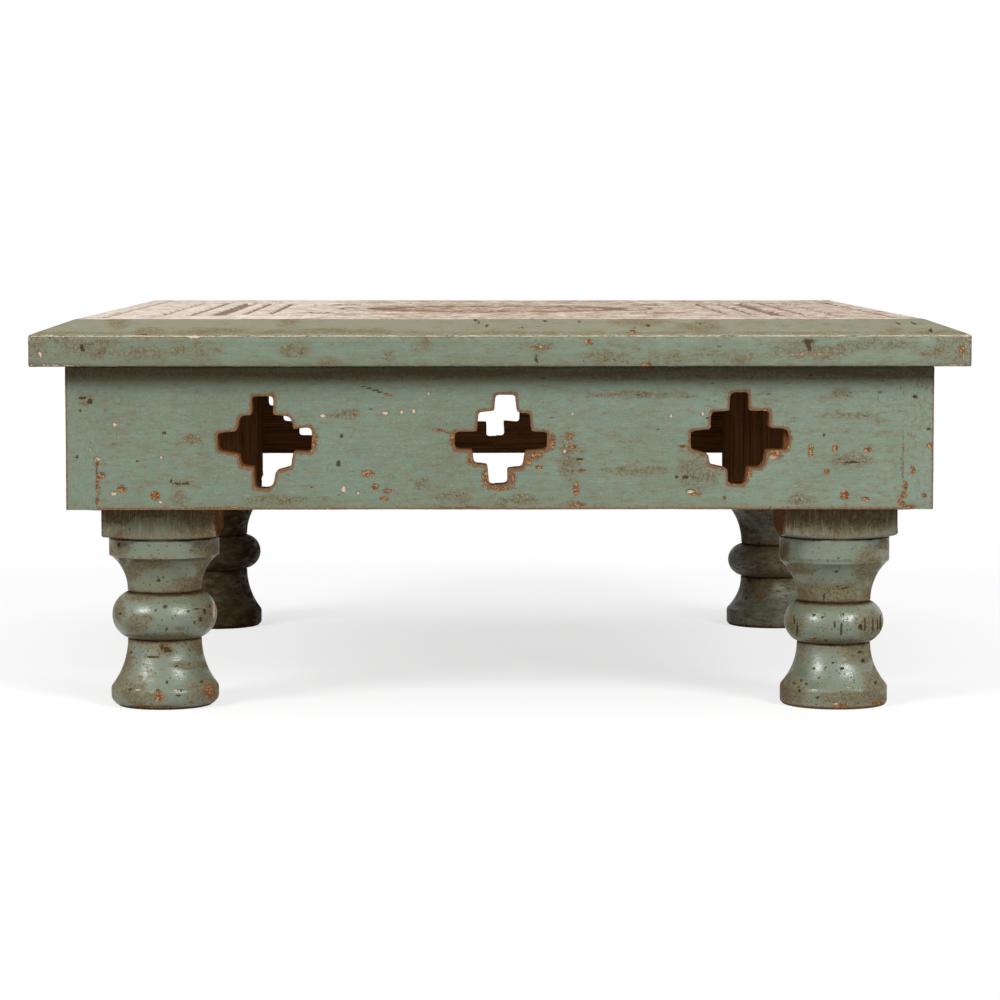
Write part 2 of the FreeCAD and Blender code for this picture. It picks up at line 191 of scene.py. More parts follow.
rail_marks = {"bare": (
    (962.7, 350, 6, 9), (521, 327.3, 3, 1.4), (634, 332.6, 5, 1.2), (588.6, 341, 3.6, 3),
    (618, 339, 10, 1.3), (541, 346, 12, 4), (610, 357, 18, 2.4), (647, 366, 6, 1.6), (815, 353, 30, 1.6),
), "primer": (
    (32, 364, 6, 3.5), (62, 365.6, 32, 1.6), (28, 339, 3, 4), (952, 366, 22, 1.4), (45, 334.6, 14, 1.2),
    (960, 364.5, 10, 2.2), (966, 338, 3, 4), (40.4, 356.4, 1.2, 4), (193.5, 336.6, 8, 1.4),
    (226.5, 324.5, 1.5, 1.2), (810.6, 353, 42, 3.4), (964, 356, 3, 7), (130.2, 359.5, 1.4, 1.4),
), "stain": (
    (40.4, 348, 12, 12), (87, 352, 40, 9), (136, 353, 44, 9), (190, 351, 34, 10), (70, 341, 20, 4),
    (110, 341, 24, 3), (295.5, 350, 18, 11), (326, 363, 10, 4), (424, 339, 10, 4), (390, 355.4, 8, 6),
    (420.8, 348, 10, 6), (541, 346, 22, 8), (604, 357.4, 34, 6), (665.7, 356, 32, 7), (731, 356, 32, 8),
    (811, 350, 50, 9), (806, 339.5, 14, 3), (808, 344, 6, 4), (870, 346, 50, 8), (950, 350, 24, 14),
    (289, 322, 12, 5), (120, 322, 12, 7), (150, 331, 14, 4), (60, 340, 40, 5), (640, 321, 30, 6),
    (700, 327, 24, 7), (894, 331, 8, 4), (220, 331, 40, 4), (330, 331, 60, 3),
), "pit": (
    (140.4, 335.2, 6, 1.4), (632, 331, 3.2, 1), (633, 328, 2, 1), (647.3, 325.8, 2.4, 1),
    (545.7, 321.3, 2.2, 1.5), (475, 319.7, 1.8, 1.3), (454.5, 331.5, 4, 0.9), (50.6, 338, 3, 1.8),
    (59.8, 339.7, 3, 1.8), (83, 348, 1.2, 1.2), (51, 337, 1.6, 1), (244.5, 338.5, 8, 1.6),
    (480, 322.3, 1.8, 1.5), (485.7, 326.4, 1.8, 1.5), (504.9, 327.4, 1.8, 1), (516, 327.2, 1.6, 1),
    (530.6, 319, 1.8, 1), (580, 321.7, 2, 1.6), (417, 320, 1.5, 1.5), (650.4, 318, 4, 1.5),
    (383, 317.7, 4, 1.5), (588.6, 341.1, 3, 2.6), (600.4, 339, 4, 1.8), (576, 339.8, 12, 0.9),
    (536.5, 358, 0.9, 4), (809, 340.6, 10, 1), (808.8, 342.4, 6.5, 1.1), (808.5, 344.4, 3.6, 1.2),
    (808.3, 347.6, 1.5, 2.4), (699.4, 323.8, 1.6, 1), (710.2, 321.7, 2, 1), (897.3, 322.3, 1.5, 1.5),
    (914, 323.4, 2, 1.4), (930, 331.5, 2, 3.4), (647, 365.6, 5, 1.4), (636, 332.5, 3, 0.8),
)}
leg_marks = {"bare": (
    (215, 518, 4, 4), (158.8, 696.5, 4.6, 6.5), (209.5, 690.5, 8, 10), (191.8, 702, 2, 1.6),
    (778, 524, 7, 14), (842, 615, 1.4, 1.4), (813.2, 639, 4, 1.6), (840.5, 705.6, 9, 2.6),
    (876, 703, 8, 2.4), (150, 706.5, 34, 1.3), (830, 709.5, 40, 1.3), (205, 539, 7, 1.5),
    (122, 539, 6, 1.4),
# Some of these cream marks are painted highlights: the dashes round the feet's bands near row 690 and the
# stripe at the right of the front left bead near column 214
), "primer": (
    (214, 612, 1.8, 9), (213.6, 601, 1.5, 4), (138, 690, 3, 0.6), (176, 690.5, 4, 0.6), (850, 688, 4, 0.7),
    (805, 560, 1.6, 1.2), (223, 525, 1.6, 13), (779, 552, 1.3, 12), (789, 575, 2.2, 8), (216, 535, 2, 2),
    (836, 704, 4, 1.2), (812, 637.5, 2.6, 1),
), "stain": (
    (123, 562, 5, 10), (150.4, 562, 10, 4), (204, 566, 7, 10), (201.6, 592, 5, 5), (156, 656.5, 10, 2),
    (166, 648, 8, 5), (188, 664.2, 18, 2.4), (197, 643, 9, 8), (139, 598, 16, 3), (794, 514, 12, 4),
    (832, 514, 12, 4), (857, 515.4, 10, 3), (884, 542, 5, 4), (792.8, 567, 8, 5), (865.8, 594, 6, 9),
    (811, 595.4, 12, 6), (864, 570, 10, 8), (863, 660.7, 8, 4), (858.8, 650, 10, 5), (120, 549, 12, 8),
    (203, 549, 14, 8), (150, 697, 16, 6), (160, 515, 60, 5), (784, 552, 5, 12), (118, 518, 14, 8),
    (195, 529, 24, 9), (118, 536, 10, 5), (150, 563, 22, 7), (205, 566, 12, 14), (188, 584, 20, 8),
    (130, 572, 12, 10), (146, 619, 10, 6), (136, 624, 14, 9), (120, 612, 6, 12), (204, 616, 10, 14),
    (179.8, 628.4, 5, 2), (166, 650, 12, 7), (197, 646, 12, 10), (190, 665, 22, 5), (132, 690, 16, 14),
    (205, 690, 18, 14), (139, 701, 10, 5), (125, 660, 10, 16), (800, 520, 22, 10), (850, 522, 44, 12),
    (868, 566, 14, 22), (812, 592, 18, 10), (840, 592, 26, 9), (800, 568, 14, 7), (870, 626, 14, 16),
    (796, 626, 8, 14), (856, 652, 18, 14), (874, 680, 14, 16), (795, 690, 14, 14), (850, 698, 36, 8),
    (250, 560, 30, 60), (735, 560, 30, 60), (165, 641, 38, 4), (120, 682, 10, 10), (138, 623, 11, 9),
    (120, 608, 7, 12), (140, 566, 20, 6), (202, 566, 9, 6), (167, 595, 42, 3), (165, 636, 40, 3),
    (794, 568, 12, 6), (867, 575, 11, 10), (867, 594, 4, 10), (813, 595, 9, 6), (835, 602, 34, 3),
    (862, 656, 10, 8), (870, 697, 17, 8), (787, 686, 9, 13), (880, 547, 9, 3), (835, 642, 34, 3),
    (120, 514, 18, 6), (200, 518, 26, 12),
), "pit": (
    (118, 518, 7, 2), (120, 524, 2.6, 4), (174, 518, 6, 2.6), (118.8, 545, 2, 2), (158.8, 580.7, 2.6, 1.6),
    (163, 577, 2, 1), (165, 606.7, 2.4, 2), (196.7, 608.8, 3, 1.1), (204.4, 611.6, 1.5, 3.4),
    (200.9, 619.3, 1.5, 3), (194.6, 622.4, 1.6, 1.2), (188.2, 611.2, 1.3, 1.2), (170.7, 616.8, 1.2, 1.2),
    (166.8, 629.1, 1.6, 1.4), (210, 606, 1.1, 2), (120.2, 613.7, 1.6, 1.6), (156, 610.2, 1.2, 1.2),
    (166, 649, 3.4, 1.6), (177, 666.3, 2, 1.2), (131.4, 652.3, 1.3, 1.3), (166.5, 682.5, 1.3, 2.6),
    (201.6, 681.8, 2, 1.3), (130, 689.8, 1.6, 1.4), (178.4, 695.8, 2.6, 1.2), (181.2, 690.9, 1.2, 1.2),
    (158, 690.5, 2, 2), (839, 557.3, 1.4, 1.4), (853, 548.4, 1.2, 1.2), (836.3, 571.6, 2, 1.1),
    (837.7, 587, 2, 1.1), (844, 588, 3, 1.1), (824, 596.8, 1.1, 4), (813.9, 615, 1.6, 1.6),
    (843, 614.6, 1.6, 1.2), (841.2, 629, 0.9, 7), (846.8, 623.5, 0.8, 5), (865, 623.5, 0.9, 8),
    (872.8, 625, 0.9, 8), (877.5, 625, 0.8, 8), (797, 629, 0.9, 8), (794.2, 619.3, 0.8, 6),
    (822.3, 617.6, 1.3, 1.3), (825.8, 640.3, 1.3, 1.3), (832.8, 662.8, 1.4, 1.4), (825.8, 667.7, 1.2, 1.2),
    (842, 668.4, 2.6, 1.4), (818.8, 678, 1.3, 1.3), (801.2, 680.4, 1.3, 1.3), (806.4, 684, 1.5, 1.5),
    (798.4, 686.7, 1.3, 1.3), (799.4, 690.6, 1.7, 1.7), (794, 683, 1.3, 1.3), (860.4, 627, 2.4, 3),
    (847, 623.5, 0.8, 7), (834.6, 624.5, 0.7, 4), (880.3, 623, 0.9, 8), (153, 657, 6, 1.1),
    (166.6, 650.2, 3, 2.4), (162, 647, 1.4, 3), (170, 652, 5, 0.9), (813.9, 668.4, 1.8, 1.4),
    (860, 652, 3, 1.4), (863, 661, 2, 2), (817.4, 697.6, 1.7, 1.7), (875.6, 682.5, 1.6, 1.6),
    (840.5, 692, 1.3, 1.3), (760.6, 583, 2.4, 2),
)}
seen_marks = {"rail": rail_marks, "apron": apron_marks, "leg": leg_marks}

# Each kind of mark on each kind of piece: the strength, number, least and greatest radius in millimetres of
# the marks strewn at random, how far they thin out where the photograph shows the face, and the least
# strength of a mark seen in it
mark_recipes = {
    "rail": {
        "bare": (0.9, 20, 0.9, 2.8, 0.6, 0.58),
        "primer": (1, 16, 0.7, 2.2, 0.6, 0.58),
        "stain": (0.75, 18, 8, 34, 0.7, 0.70),
        "pit": (0.9, 30, 0.6, 1.5, 0.6, 0.58),
    },
    "apron": {
        "bare": (1, 34, 0.8, 2.8, 0.6, 0.58),
        "primer": (1, 24, 0.6, 1.8, 0.7, 0.58),
        "stain": (0.7, 18, 7, 28, 0.7, 0.75),
        "pit": (1, 28, 0.6, 1.5, 0.7, 0.58),
    },
    "leg": {
        "bare": (0.9, 18, 1.0, 3.4, 1, 0.58),
        "primer": (1, 14, 0.7, 2.0, 1, 0.58),
        "stain": (1, 12, 8, 22, 0.7, 1),
        "pit": (1, 40, 0.5, 1.3, 0.7, 0.58),
    },
}
mark_seeds = {"rail": 10, "apron": 60, "leg": 110}
seed_step = 10
cutout_seed = 50


def wear_values(lengths, **shares):
    """Lengths given in millimetres and shares, all under their names."""
    return SimpleNamespace(**{name: value * mm for name, value in lengths.items()}, **shares)


# The wear, dirt and painted shade of each kind of piece: its lengths in millimetres, and how strong each
# kind is
rail_wear = wear_values(
    dict(
        wave=90, nick=5, scuff=3, wash_fade=0.8, flat_depth=4, joint=1.2, mitre=0.6, under_depth=3,
        foot_run=4, foot=3.5, carved=2.5, low_edge=5, faded_start=0.8, faded_end=2.4, faded_rise=9,
        inside=0.4, inside_depth=3,
    ),
    scuff_share=0.2, lower_share=0.8, end_share=0.8, shoulder_share=0.35, upward_share=0.5,
    likely_share=0.05, outward_shares=(0.1, 0.45), joint_share=0.6, mitre_share=0.55, under_share=0.9,
    under_shares=(0.75, 0.95), foot_share=0.75, carved_share=0.25, rubbed_share=0.12, right_share=0.2,
    low_share=0.35, stain_share=0.25,
)
board_wear = wear_values(
    dict(
        gap=0.8, rounding=0.5, rounding_reach=0.9, wave=120, scuff=4, scuff_depth=0.35, joint=0.8,
        under_depth=3, under_fade=1, shadow_x=3, shadow_y=-14, shadow_start=72, shadow_full=78,
        shadow_end=95, shadow_fade=6, shown_start=-185, shown_full=-140, broad=5, ring=3.6,
    ),
    joint_share=0.6, busy_share=0.66, busy_reach_share=0.2, shadow_share=0.38, far_shadow_share=0.30,
    rubbed_share=0.20, right_share=0.23, rubbed_shadow_share=0.4, rubbed_busy_share=0.2, shown_share=0.55,
    broad_share=0.28, carved_share=0.86, deepening=3,
)
apron_wear = wear_values(
    dict(
        wave=80, scuff=4, scuff_depth=0.3, seam_start=1, seam_end=8, chip=2.5, end_start=1.6, end_full=0.6,
        front_depth=2.2, front_fade=1.6, edge_depth=8, likely_rim=4, likely_edge=4, likely_end=5,
        facing_depth=3, facing_fade=1, soil_start=15, soil_full=5, joint=0.9, wall_start=0.9, wall_full=2.4,
        wall_rim=2.5, rim=2.3, low_edge=1.9, end=1.8, back_start=3, back_full=5, low_soil=5,
    ),
    even_share=0.02, likely_share=0.06, likely_edge_share=0.7, likely_end_share=0.4, soil_share=0.88,
    joint_share=0.12, wall_share=0.2, low_edge_share=0.90, end_share=0.8, low_soil_share=0.35,
    stain_share=0.15,
)
leg_wear = wear_values(
    dict(
        wave=45, scuff=4.5, scuff_depth=0.16, sole_depth=0.6, post_start=0.5, post_edge=1.8, shoulder=2,
        shoulder_light=1.5, band=1, band_light=0.6, foot_rise=0.8, foot=1.4, lip=0.9, low_groove=1.5,
        high_groove=1.8, shade_drop=0.2, shade=1.1, lip_shade=1.2, hidden_start=7, hidden_full=3, sole=0.8,
        block_start=1, block_full=2, cove=16, halo=4, block_top=7, foot_soil=8, inside_rise=4,
    ),
    post_share=0.8, level_share=0.35, shoulder_share=0.35, light_share=0.52, band_share=0.38,
    foot_share=0.72, foot_out_share=0.8, lip_share=0.35, likely_share=0.08, towards_shares=(-0.2, 0.2),
    groove_share=0.80, shade_share=0.95, lip_shade_share=0.5, hidden_share=0.8, sole_share=0.8,
    block_share=0.5, cove_share=0.28, halo_share=0.6, block_top_share=0.45, top_stain_share=0.8,
    rear_shares=(-0.5, 0.1), flank_share=0.6, flank_shares=(0.72, 0.96), foot_soil_share=0.25,
    stain_share=0.35, outward_shares=(-0.2, 0.2), inward_shares=(0.6, 0.9), inward_share=0.9,
    inside_share=0.9,
)
# Across the top the wash thins out between these two places
rubbed_start = -170 * mm
rubbed_full = -60 * mm
# The greatest angle between two faces that are shaded as one
rail_smooth_angle = radians(35)
board_smooth_angle = radians(40)
apron_smooth_angle = radians(60)
leg_smooth_angle = radians(55)
turning_overlap = 3 * mm


def maker(kind, **traits):
    """Makes one kind of setting from its name, its description and its default."""
    return lambda name, words, default: kind(name=name, description=words, default=default, **traits)


length = maker(FloatProperty, min=0.0, precision=5, subtype="DISTANCE", unit="LENGTH")
angle = maker(FloatProperty, subtype="ANGLE")
millimetres = maker(FloatProperty, subtype="DISTANCE_CAMERA")
power = maker(FloatProperty, min=0.0, subtype="POWER")
factor = maker(FloatProperty, min=0.0, subtype="FACTOR")
count = maker(IntProperty, min=3)
spot = maker(FloatVectorProperty, subtype="TRANSLATION")
colour = maker(FloatVectorProperty, size=3, min=0.0, max=1.0, subtype="COLOR")


class TopSettings(bpy.types.PropertyGroup):
    """Sizes of the top's frame"""

    bevel_rise: length("Bevel rise", "Height of the sloping border round the top", 0.010)
    bevel_run: length("Bevel run", "Width of the sloping border, seen from above", 0.0282)
    arris: length("Arris", "Rounding of the rails' long edges", 0.0010)
    tongue_under: length("Tongue under", "Height of the groove for the boards above their underside", 0.006)
    groove_height: length("Groove height", "Height of the groove that holds the boards", 0.0074)
    groove_depth: length("Groove depth", "Depth of the groove that holds the boards", 0.0065)
    slice: length("Slice", "Longest stretch of a rail between two rings of its mesh", 0.0028)
    waviness: length("Waviness", "How far the planed faces stray", 0.0004)
    nicks: length("Nicks", "Depth of the nicks along the worn edges", 0.0011)


class CarvingSettings(bpy.types.PropertyGroup):
    """Sizes of the carved panel"""

    depth: length("Depth", "Depth of the carving", 0.002)
    border: length("Border", "Width of the band of square grooves", 0.105)
    groove_width: length("Groove width", "Width of a narrow groove", 0.005)
    wall_run: length("Wall run", "Width of a groove's sloping wall", 0.0011)
    flower_radius: length("Flower radius", "Radius of the outermost ring", 0.112)
    ring_width: length("Ring width", "Width of a ring groove", 0.003)
    outer_petal_width: length("Outer petal width", "Width of a petal of the outer round", 0.017)
    inner_petal_width: length("Inner petal width", "Width of a petal of the inner round", 0.015)
    leaf_width: length("Leaf width", "Width of a leaf in the corners of the field", 0.013)
    outer_petals: count("Outer petals", "Petals in the outer round", 16)
    inner_petals: count("Inner petals", "Petals in the inner round", 8)
    corner_leaves: count("Corner leaves", "Leaves in each corner of the field", 5)
    spacing: length("Spacing", "Distance between the points of a board's carved face", 0.0013)
    crown: length("Crown", "How far the boards have warped and worn", 0.0004)


class ApronSettings(bpy.types.PropertyGroup):
    """Sizes of the aprons"""

    step_width: length("Step width", "Width of a step of the cut-outs", 0.0129)
    step_height: length("Step height", "Height of a step of the cut-outs", 0.0122)
    pitch: length("Pitch", "Distance between the cut-outs", 0.1522)
    corner_round: length("Corner round", "Rounding of the cut-outs' corners", 0.0013)
    grid: length("Grid", "Distance between the points of an apron's mesh", 0.0012)
    waviness: length("Waviness", "How far the faces stray", 0.0006)
    chip_depth: length("Chip depth", "Depth of a chip in the paint and the wood under it", 0.0005)


class LegSettings(bpy.types.PropertyGroup):
    """Sizes of the legs"""

    turned_height: length("Turned height", "Height of the turning under the square post", 0.112)
    post_side: length("Post side", "Side of the square post", 0.075)
    shoulder_rise: length("Shoulder rise", "How far the lathe took the post's lower corners up", 0.0055)
    collar_radius: length("Collar radius", "Radius of the collar under the post", 0.0366)
    collar_height: length("Collar height", "Height of the collar", 0.013)
    lip_height: length("Lip height", "Height of the lip under the collar", 0.0010)
    lip_radius: length("Lip radius", "Radius of the lip under the collar", 0.0344)
    cove_radius: length("Cove radius", "Radius at the top of the cove", 0.0341)
    neck_radius: length("Neck radius", "Radius at the narrowest places", 0.0246)
    foot_radius: length("Foot radius", "Radius of the foot", 0.0358)
    foot_step: length("Foot step", "Step from the foot's band to the bell above it", 0.001)
    foot_band: length("Foot band", "Height of the straight band at the foot", 0.0132)
    foot_round: length("Foot round", "Rounding under the foot", 0.0024)
    quirk: length("Quirk", "Depth of the line cut above and below the bead", 0.0008)
    point_step: length("Point step", "Distance between the points of the turned outline", 0.0012)
    spin_steps: count("Spin steps", "Faces round a leg", 144)
    post_cuts: count("Post cuts", "Cuts across each face of the post", 26)
    post_arris: length("Post arris", "Rounding of the post's edges", 0.0016)
    waviness: length("Waviness", "How far the turning strays", 0.0005)


class FinishSettings(bpy.types.PropertyGroup):
    """Colours of the paint, the wood and what shows through"""

    sage: colour("Sage", "Sage paint where it is clean", (0.176, 0.232, 0.168))
    sage_deep: colour("Deep sage", "Sage paint where it has darkened", (0.152, 0.190, 0.130))
    sage_pale: colour("Pale sage", "Sage paint where it is rubbed", (0.300, 0.385, 0.305))
    faded: colour("Faded sage", "Yellowed paint of the bevels", (0.168, 0.162, 0.086))
    olive: colour("Olive", "Olive brown film over the paint", (0.186, 0.148, 0.068))
    stain: colour("Stain", "Brown stains in the paint", (0.098, 0.058, 0.024))
    # This cream is also laid as painted highlights round the feet's bands and down a bead
    primer: colour("Primer", "Cream ground under the paint", (0.720, 0.590, 0.420))
    ochre: colour("Ochre", "Bright splinters in the bare wood", (0.560, 0.300, 0.130))
    raw_wood: colour("Raw wood", "Wood where the paint has gone", (0.300, 0.118, 0.042))
    rubbed: colour("Rubbed edge", "Wood along the edges, rubbed through the paint", (0.250, 0.120, 0.066))
    old_wood: colour("Old wood", "Wood that was never painted", (0.370, 0.165, 0.062))
    # This colour is also the dark brown of painted shade under the rails, below the legs' blocks and on the
    # back legs
    grime: colour("Grime", "Dirt in the corners and grooves", (0.040, 0.020, 0.008))
    wash: colour("Wash", "Cream wash of the panel", (0.880, 0.775, 0.670))
    wash_rubbed: colour("Rubbed wash", "Panel where the wash has rubbed away", (0.300, 0.188, 0.104))
    pitted: colour("Pits", "Dirt in pits and worm holes", (0.062, 0.030, 0.012))
    groove: colour("Groove", "Wood in the carved grooves", (0.120, 0.060, 0.031))
    rust: colour("Rust", "Rust on the nails", (0.170, 0.060, 0.022))
    iron: colour("Iron", "Iron under the rust", (0.060, 0.050, 0.045))


class StageSettings(bpy.types.PropertyGroup):
    """The camera, the lamps and the floor"""

    eye: spot("Eye", "Place of the camera", (-0.0248, -2.4169, 0.3145))
    tilt: angle("Tilt", "How far the camera looks down", radians(4.67))
    pan: angle("Pan", "How far the camera looks to the right", radians(0.659))
    lens: millimetres("Lens", "Focal length in millimetres", 119.95)
    sensor: millimetres("Sensor", "Width of the sensor in millimetres", 36.0)
    floor_side: length("Floor side", "Side of the floor", 40.0)
    aim: spot("Aim", "Place that the front lamps point at", (0.0, -0.2, 0.12))
    left_lamp: spot("Left lamp", "Place of the front lamp on the left", (-2.2, -2.0, 1.65))
    right_lamp: spot("Right lamp", "Place of the front lamp on the right", (1.8, -2.4, 1.65))
    top_lamp: spot("Top lamp", "Place of the lamp overhead", (0.0, 0.2, 2.2))
    front_side: length("Front lamps' side", "Side of each front lamp", 1.0)
    top_side: length("Top lamp's side", "Side of the lamp overhead", 1.6)
    left_power: power("Left power", "Power of the front lamp on the left", 55.0)
    right_power: power("Right power", "Power of the front lamp on the right", 58.85)
    top_power: power("Top power", "Power of the lamp overhead", 13.0)
    fill: factor("Fill", "Strength of the light from all round", 0.26)
    bounce: factor("Bounce", "Share of light that the floor sends up", 0.34)
    floor_grey: factor("Floor grey", "Share of light that the camera sees the floor give back", 0.4)
    floor_glow: factor("Floor glow", "Brightness that the floor has of its own near the table", 0.70)
    glow_start: length("Glow start", "Distance at which the floor begins to turn white", 0.45)
    glow_end: length("Glow end", "Distance from which the floor is white", 1.1)


def settings(group):
    return getattr(bpy.context.scene, "bajot_" + group)


# Modelling by hand: selecting, editing and finishing a piece


def start(add, name, **place):
    """Adds a primitive with nothing else selected, names it and applies its place."""
    bpy.ops.object.select_all(action="DESELECT")
    add(**place)
    piece = bpy.context.object
    piece.name = name
    piece.data.name = name
    settle(piece)
    return piece


def focus(piece):
    bpy.ops.object.select_all(action="DESELECT")
    piece.select_set(True)
    bpy.context.view_layer.objects.active = piece


def settle(piece):
    """Puts a piece's place, turn and size into its mesh."""
    focus(piece)
    bpy.ops.object.transform_apply(location=True, rotation=True, scale=True)


def edit(piece, kind="FACE"):
    """Opens a piece in edit mode with nothing selected."""
    focus(piece)
    bpy.ops.object.mode_set(mode="EDIT")
    bpy.ops.mesh.select_mode(type=kind)
    bpy.ops.mesh.select_all(action="DESELECT")


def close():
    bpy.ops.object.mode_set(mode="OBJECT")


def choose_faces(piece, test):
    """Selects the faces whose middle and normal pass a test."""
    mesh = bmesh.from_edit_mesh(piece.data)
    for face in mesh.faces:
        face.select_set(test(face.calc_center_median(), face.normal))
    mesh.select_flush_mode()
    bmesh.update_edit_mesh(piece.data)


def choose_edges(piece, test):
    """Selects the edges whose middle and direction pass a test."""
    mesh = bmesh.from_edit_mesh(piece.data)
    for edge in mesh.edges:
        first, second = (corner.co for corner in edge.verts)
        edge.select_set(test((first + second) / 2, (second - first).normalized()))
    mesh.select_flush_mode()
    bmesh.update_edit_mesh(piece.data)


def cut_plane(place, normal, keep_both=True):
    """Cuts the piece being edited by a plane, and takes away what lies beyond it unless both sides stay."""
    bpy.ops.mesh.select_all(action="SELECT")
    beyond = {"use_fill": not keep_both, "clear_outer": not keep_both}
    bpy.ops.mesh.bisect(plane_co=place, plane_no=normal, threshold=tolerance, **beyond)


def modify(piece, kind, **values):
    """Adds a modifier to a piece and applies it."""
    focus(piece)
    modifier = piece.modifiers.new(kind.title(), kind)
    for name, value in values.items():
        setattr(modifier, name, value)
    bpy.ops.object.modifier_apply(modifier=modifier.name)


def join(piece, tool, operation):
    """Joins a tool to a piece, or cuts the piece by it, and takes the tool away."""
    modify(piece, "BOOLEAN", operation=operation, solver="MANIFOLD", object=tool)
    bpy.data.objects.remove(tool)


def wear(piece, feature, depth, group="", detail=2):
    """Wears a piece away along its normals, by a cloudy pattern of one feature size."""
    clouds = bpy.data.textures.new("wear", "CLOUDS")
    clouds.noise_scale = feature
    clouds.noise_depth = detail
    inwards = {"mid_level": 1.0, "strength": depth, "vertex_group": group}
    modify(piece, "DISPLACE", texture=clouds, texture_coords="LOCAL", **inwards)
    bpy.data.textures.remove(clouds)


def turn(piece, quarters):
    """Turns a piece about the table's middle by quarter turns."""
    piece.rotation_euler.z = quarters * pi / 2
    settle(piece)


def smooth_shading(piece, angle):
    focus(piece)
    bpy.ops.object.shade_smooth_by_angle(angle=angle)


def points_of(piece):
    flat = np.zeros(3 * len(piece.data.vertices), np.float32)
    piece.data.vertices.foreach_get("co", flat)
    return flat.reshape(-1, 3).astype(float)


def normals_of(piece):
    flat = np.zeros(3 * len(piece.data.vertices), np.float32)
    piece.data.vertex_normals.foreach_get("vector", flat)
    return flat.reshape(-1, 3).astype(float)


def place_points(piece, points):
    piece.data.vertices.foreach_set("co", points.astype(np.float32).ravel())
    piece.data.update()


def turned_points(points, quarters):
    """Points turned about Z by quarter turns."""
    angle = quarters * pi / 2
    x = points[:, 0] * cos(angle) - points[:, 1] * sin(angle)
    y = points[:, 0] * sin(angle) + points[:, 1] * cos(angle)
    return np.column_stack((x, y, points[:, 2]))


def paint_values(piece, **fields):
    """Stores a value for each point of a piece under each name, for its material."""
    piece.vertex_groups.clear()
    for name, values in fields.items():
        attribute = piece.data.attributes.new(name, "FLOAT", "POINT")
        attribute.data.foreach_set("value", np.clip(values, 0, 1).astype(np.float32))


def weigh(piece, name, values):
    """Makes a vertex group that holds a value for each point of a piece."""
    group = piece.vertex_groups.new(name=name)
    for index in np.flatnonzero(values > 0.02):
        group.add([int(index)], float(values[index]), "REPLACE")


def finish_piece(piece, replaced, material):
    """Dresses a piece and lets it stand for a node of the frame."""
    piece.data.materials.clear()
    piece.data.materials.append(material)
    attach(piece, "root")
    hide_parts(replaced)


# Marks and wear as values from 0 to 1 for each point


def most(*values):
    """The greatest of the values at each point."""
    return reduce(np.maximum, values)


def smooth_step(value, low, high):
    share = np.clip((value - low) / (high - low), 0, 1)
    return share * share * (3 - 2 * share)


def near(distance, reach):
    """1 at no distance, fading to 0 over a reach."""
    return np.exp(-((distance / reach) ** 2))


def eye_axes():
    stage = settings("stage")
    return Euler((pi / 2 - stage.tilt, 0, -stage.pan)).to_matrix()


def seen_at(points):
    """The column and row of the photograph at which points of the table are seen."""
    stage = settings("stage")
    seen = (points - np.array(stage.eye)) @ np.array(eye_axes())
    focal = picture_side * stage.lens / stage.sensor
    column = picture_side / 2 - focal * seen[:, 0] / seen[:, 2]
    row = picture_side / 2 + focal * seen[:, 1] / seen[:, 2]
    return column, row


def photo_marks(points, normals, marks, least=0.58):
    """How strongly each point that faces the camera carries the marks."""
    column, row = seen_at(points)
    strength = np.zeros(len(points))
    for middle_column, middle_row, half_width, half_height, *slants in marks:
        along = column - middle_column
        aside = row - middle_row - sum(slants) * along
        distance = np.hypot(along / half_width, aside / half_height)
        peak = np.clip(least + small_mark_area / (half_width * half_height), least, 1)
        strength = np.maximum(strength, peak * np.clip(mark_end_share - distance, 0, 1))
    to_eye = np.array(settings("stage").eye) - points
    facing = np.einsum("ij,ij->i", normals, to_eye) / np.linalg.norm(to_eye, axis=1)
    return strength * smooth_step(facing, *edge_on_shares)


def strewn_marks(points, likely, count, low, high, seed):
    """Round marks of random size at random points, more of them where they are likely."""
    dice = np.random.RandomState(seed)
    strength = np.zeros(len(points))
    chance = likely / likely.sum()
    for middle in dice.choice(len(points), count, p=chance):
        radius = low + (high - low) * dice.rand() ** 2
        stretch = 1 + dice.rand(3)
        distance = np.linalg.norm((points - points[middle]) / stretch, axis=1) / radius
        strength = np.maximum(strength, np.clip(mark_end_share - distance, 0, 1))
    return strength


def marks_of(kind, points, normals, likely, even, index, facing=None, shown=1):
    """Marks of each kind: strewn ones, fewer where the photograph shows the face, and those seen in it."""
    marks = {}
    for step, (name, recipe) in enumerate(mark_recipes[kind].items()):
        strength, number, low, high, thinned, least = recipe
        chance = likely if name in ("bare", "primer") else even
        seed = mark_seeds[kind] + seed_step * step + index
        marks[name] = strength * strewn_marks(points, chance, number, low * mm, high * mm, seed)
        if facing is not None:
            seen = photo_marks(points, normals, seen_marks[kind][name], least)
            marks[name] = most((1 - thinned * facing) * marks[name], shown * seen)
    return marks


def line_distance(points, first, second):
    """Distance in a plane from points to the stretch between two places."""
    run = second - first
    share = np.clip(((points - first) @ run) / (run @ run), 0, 1)
    return np.linalg.norm(points - first - share[:, None] * run, axis=1)


# Materials


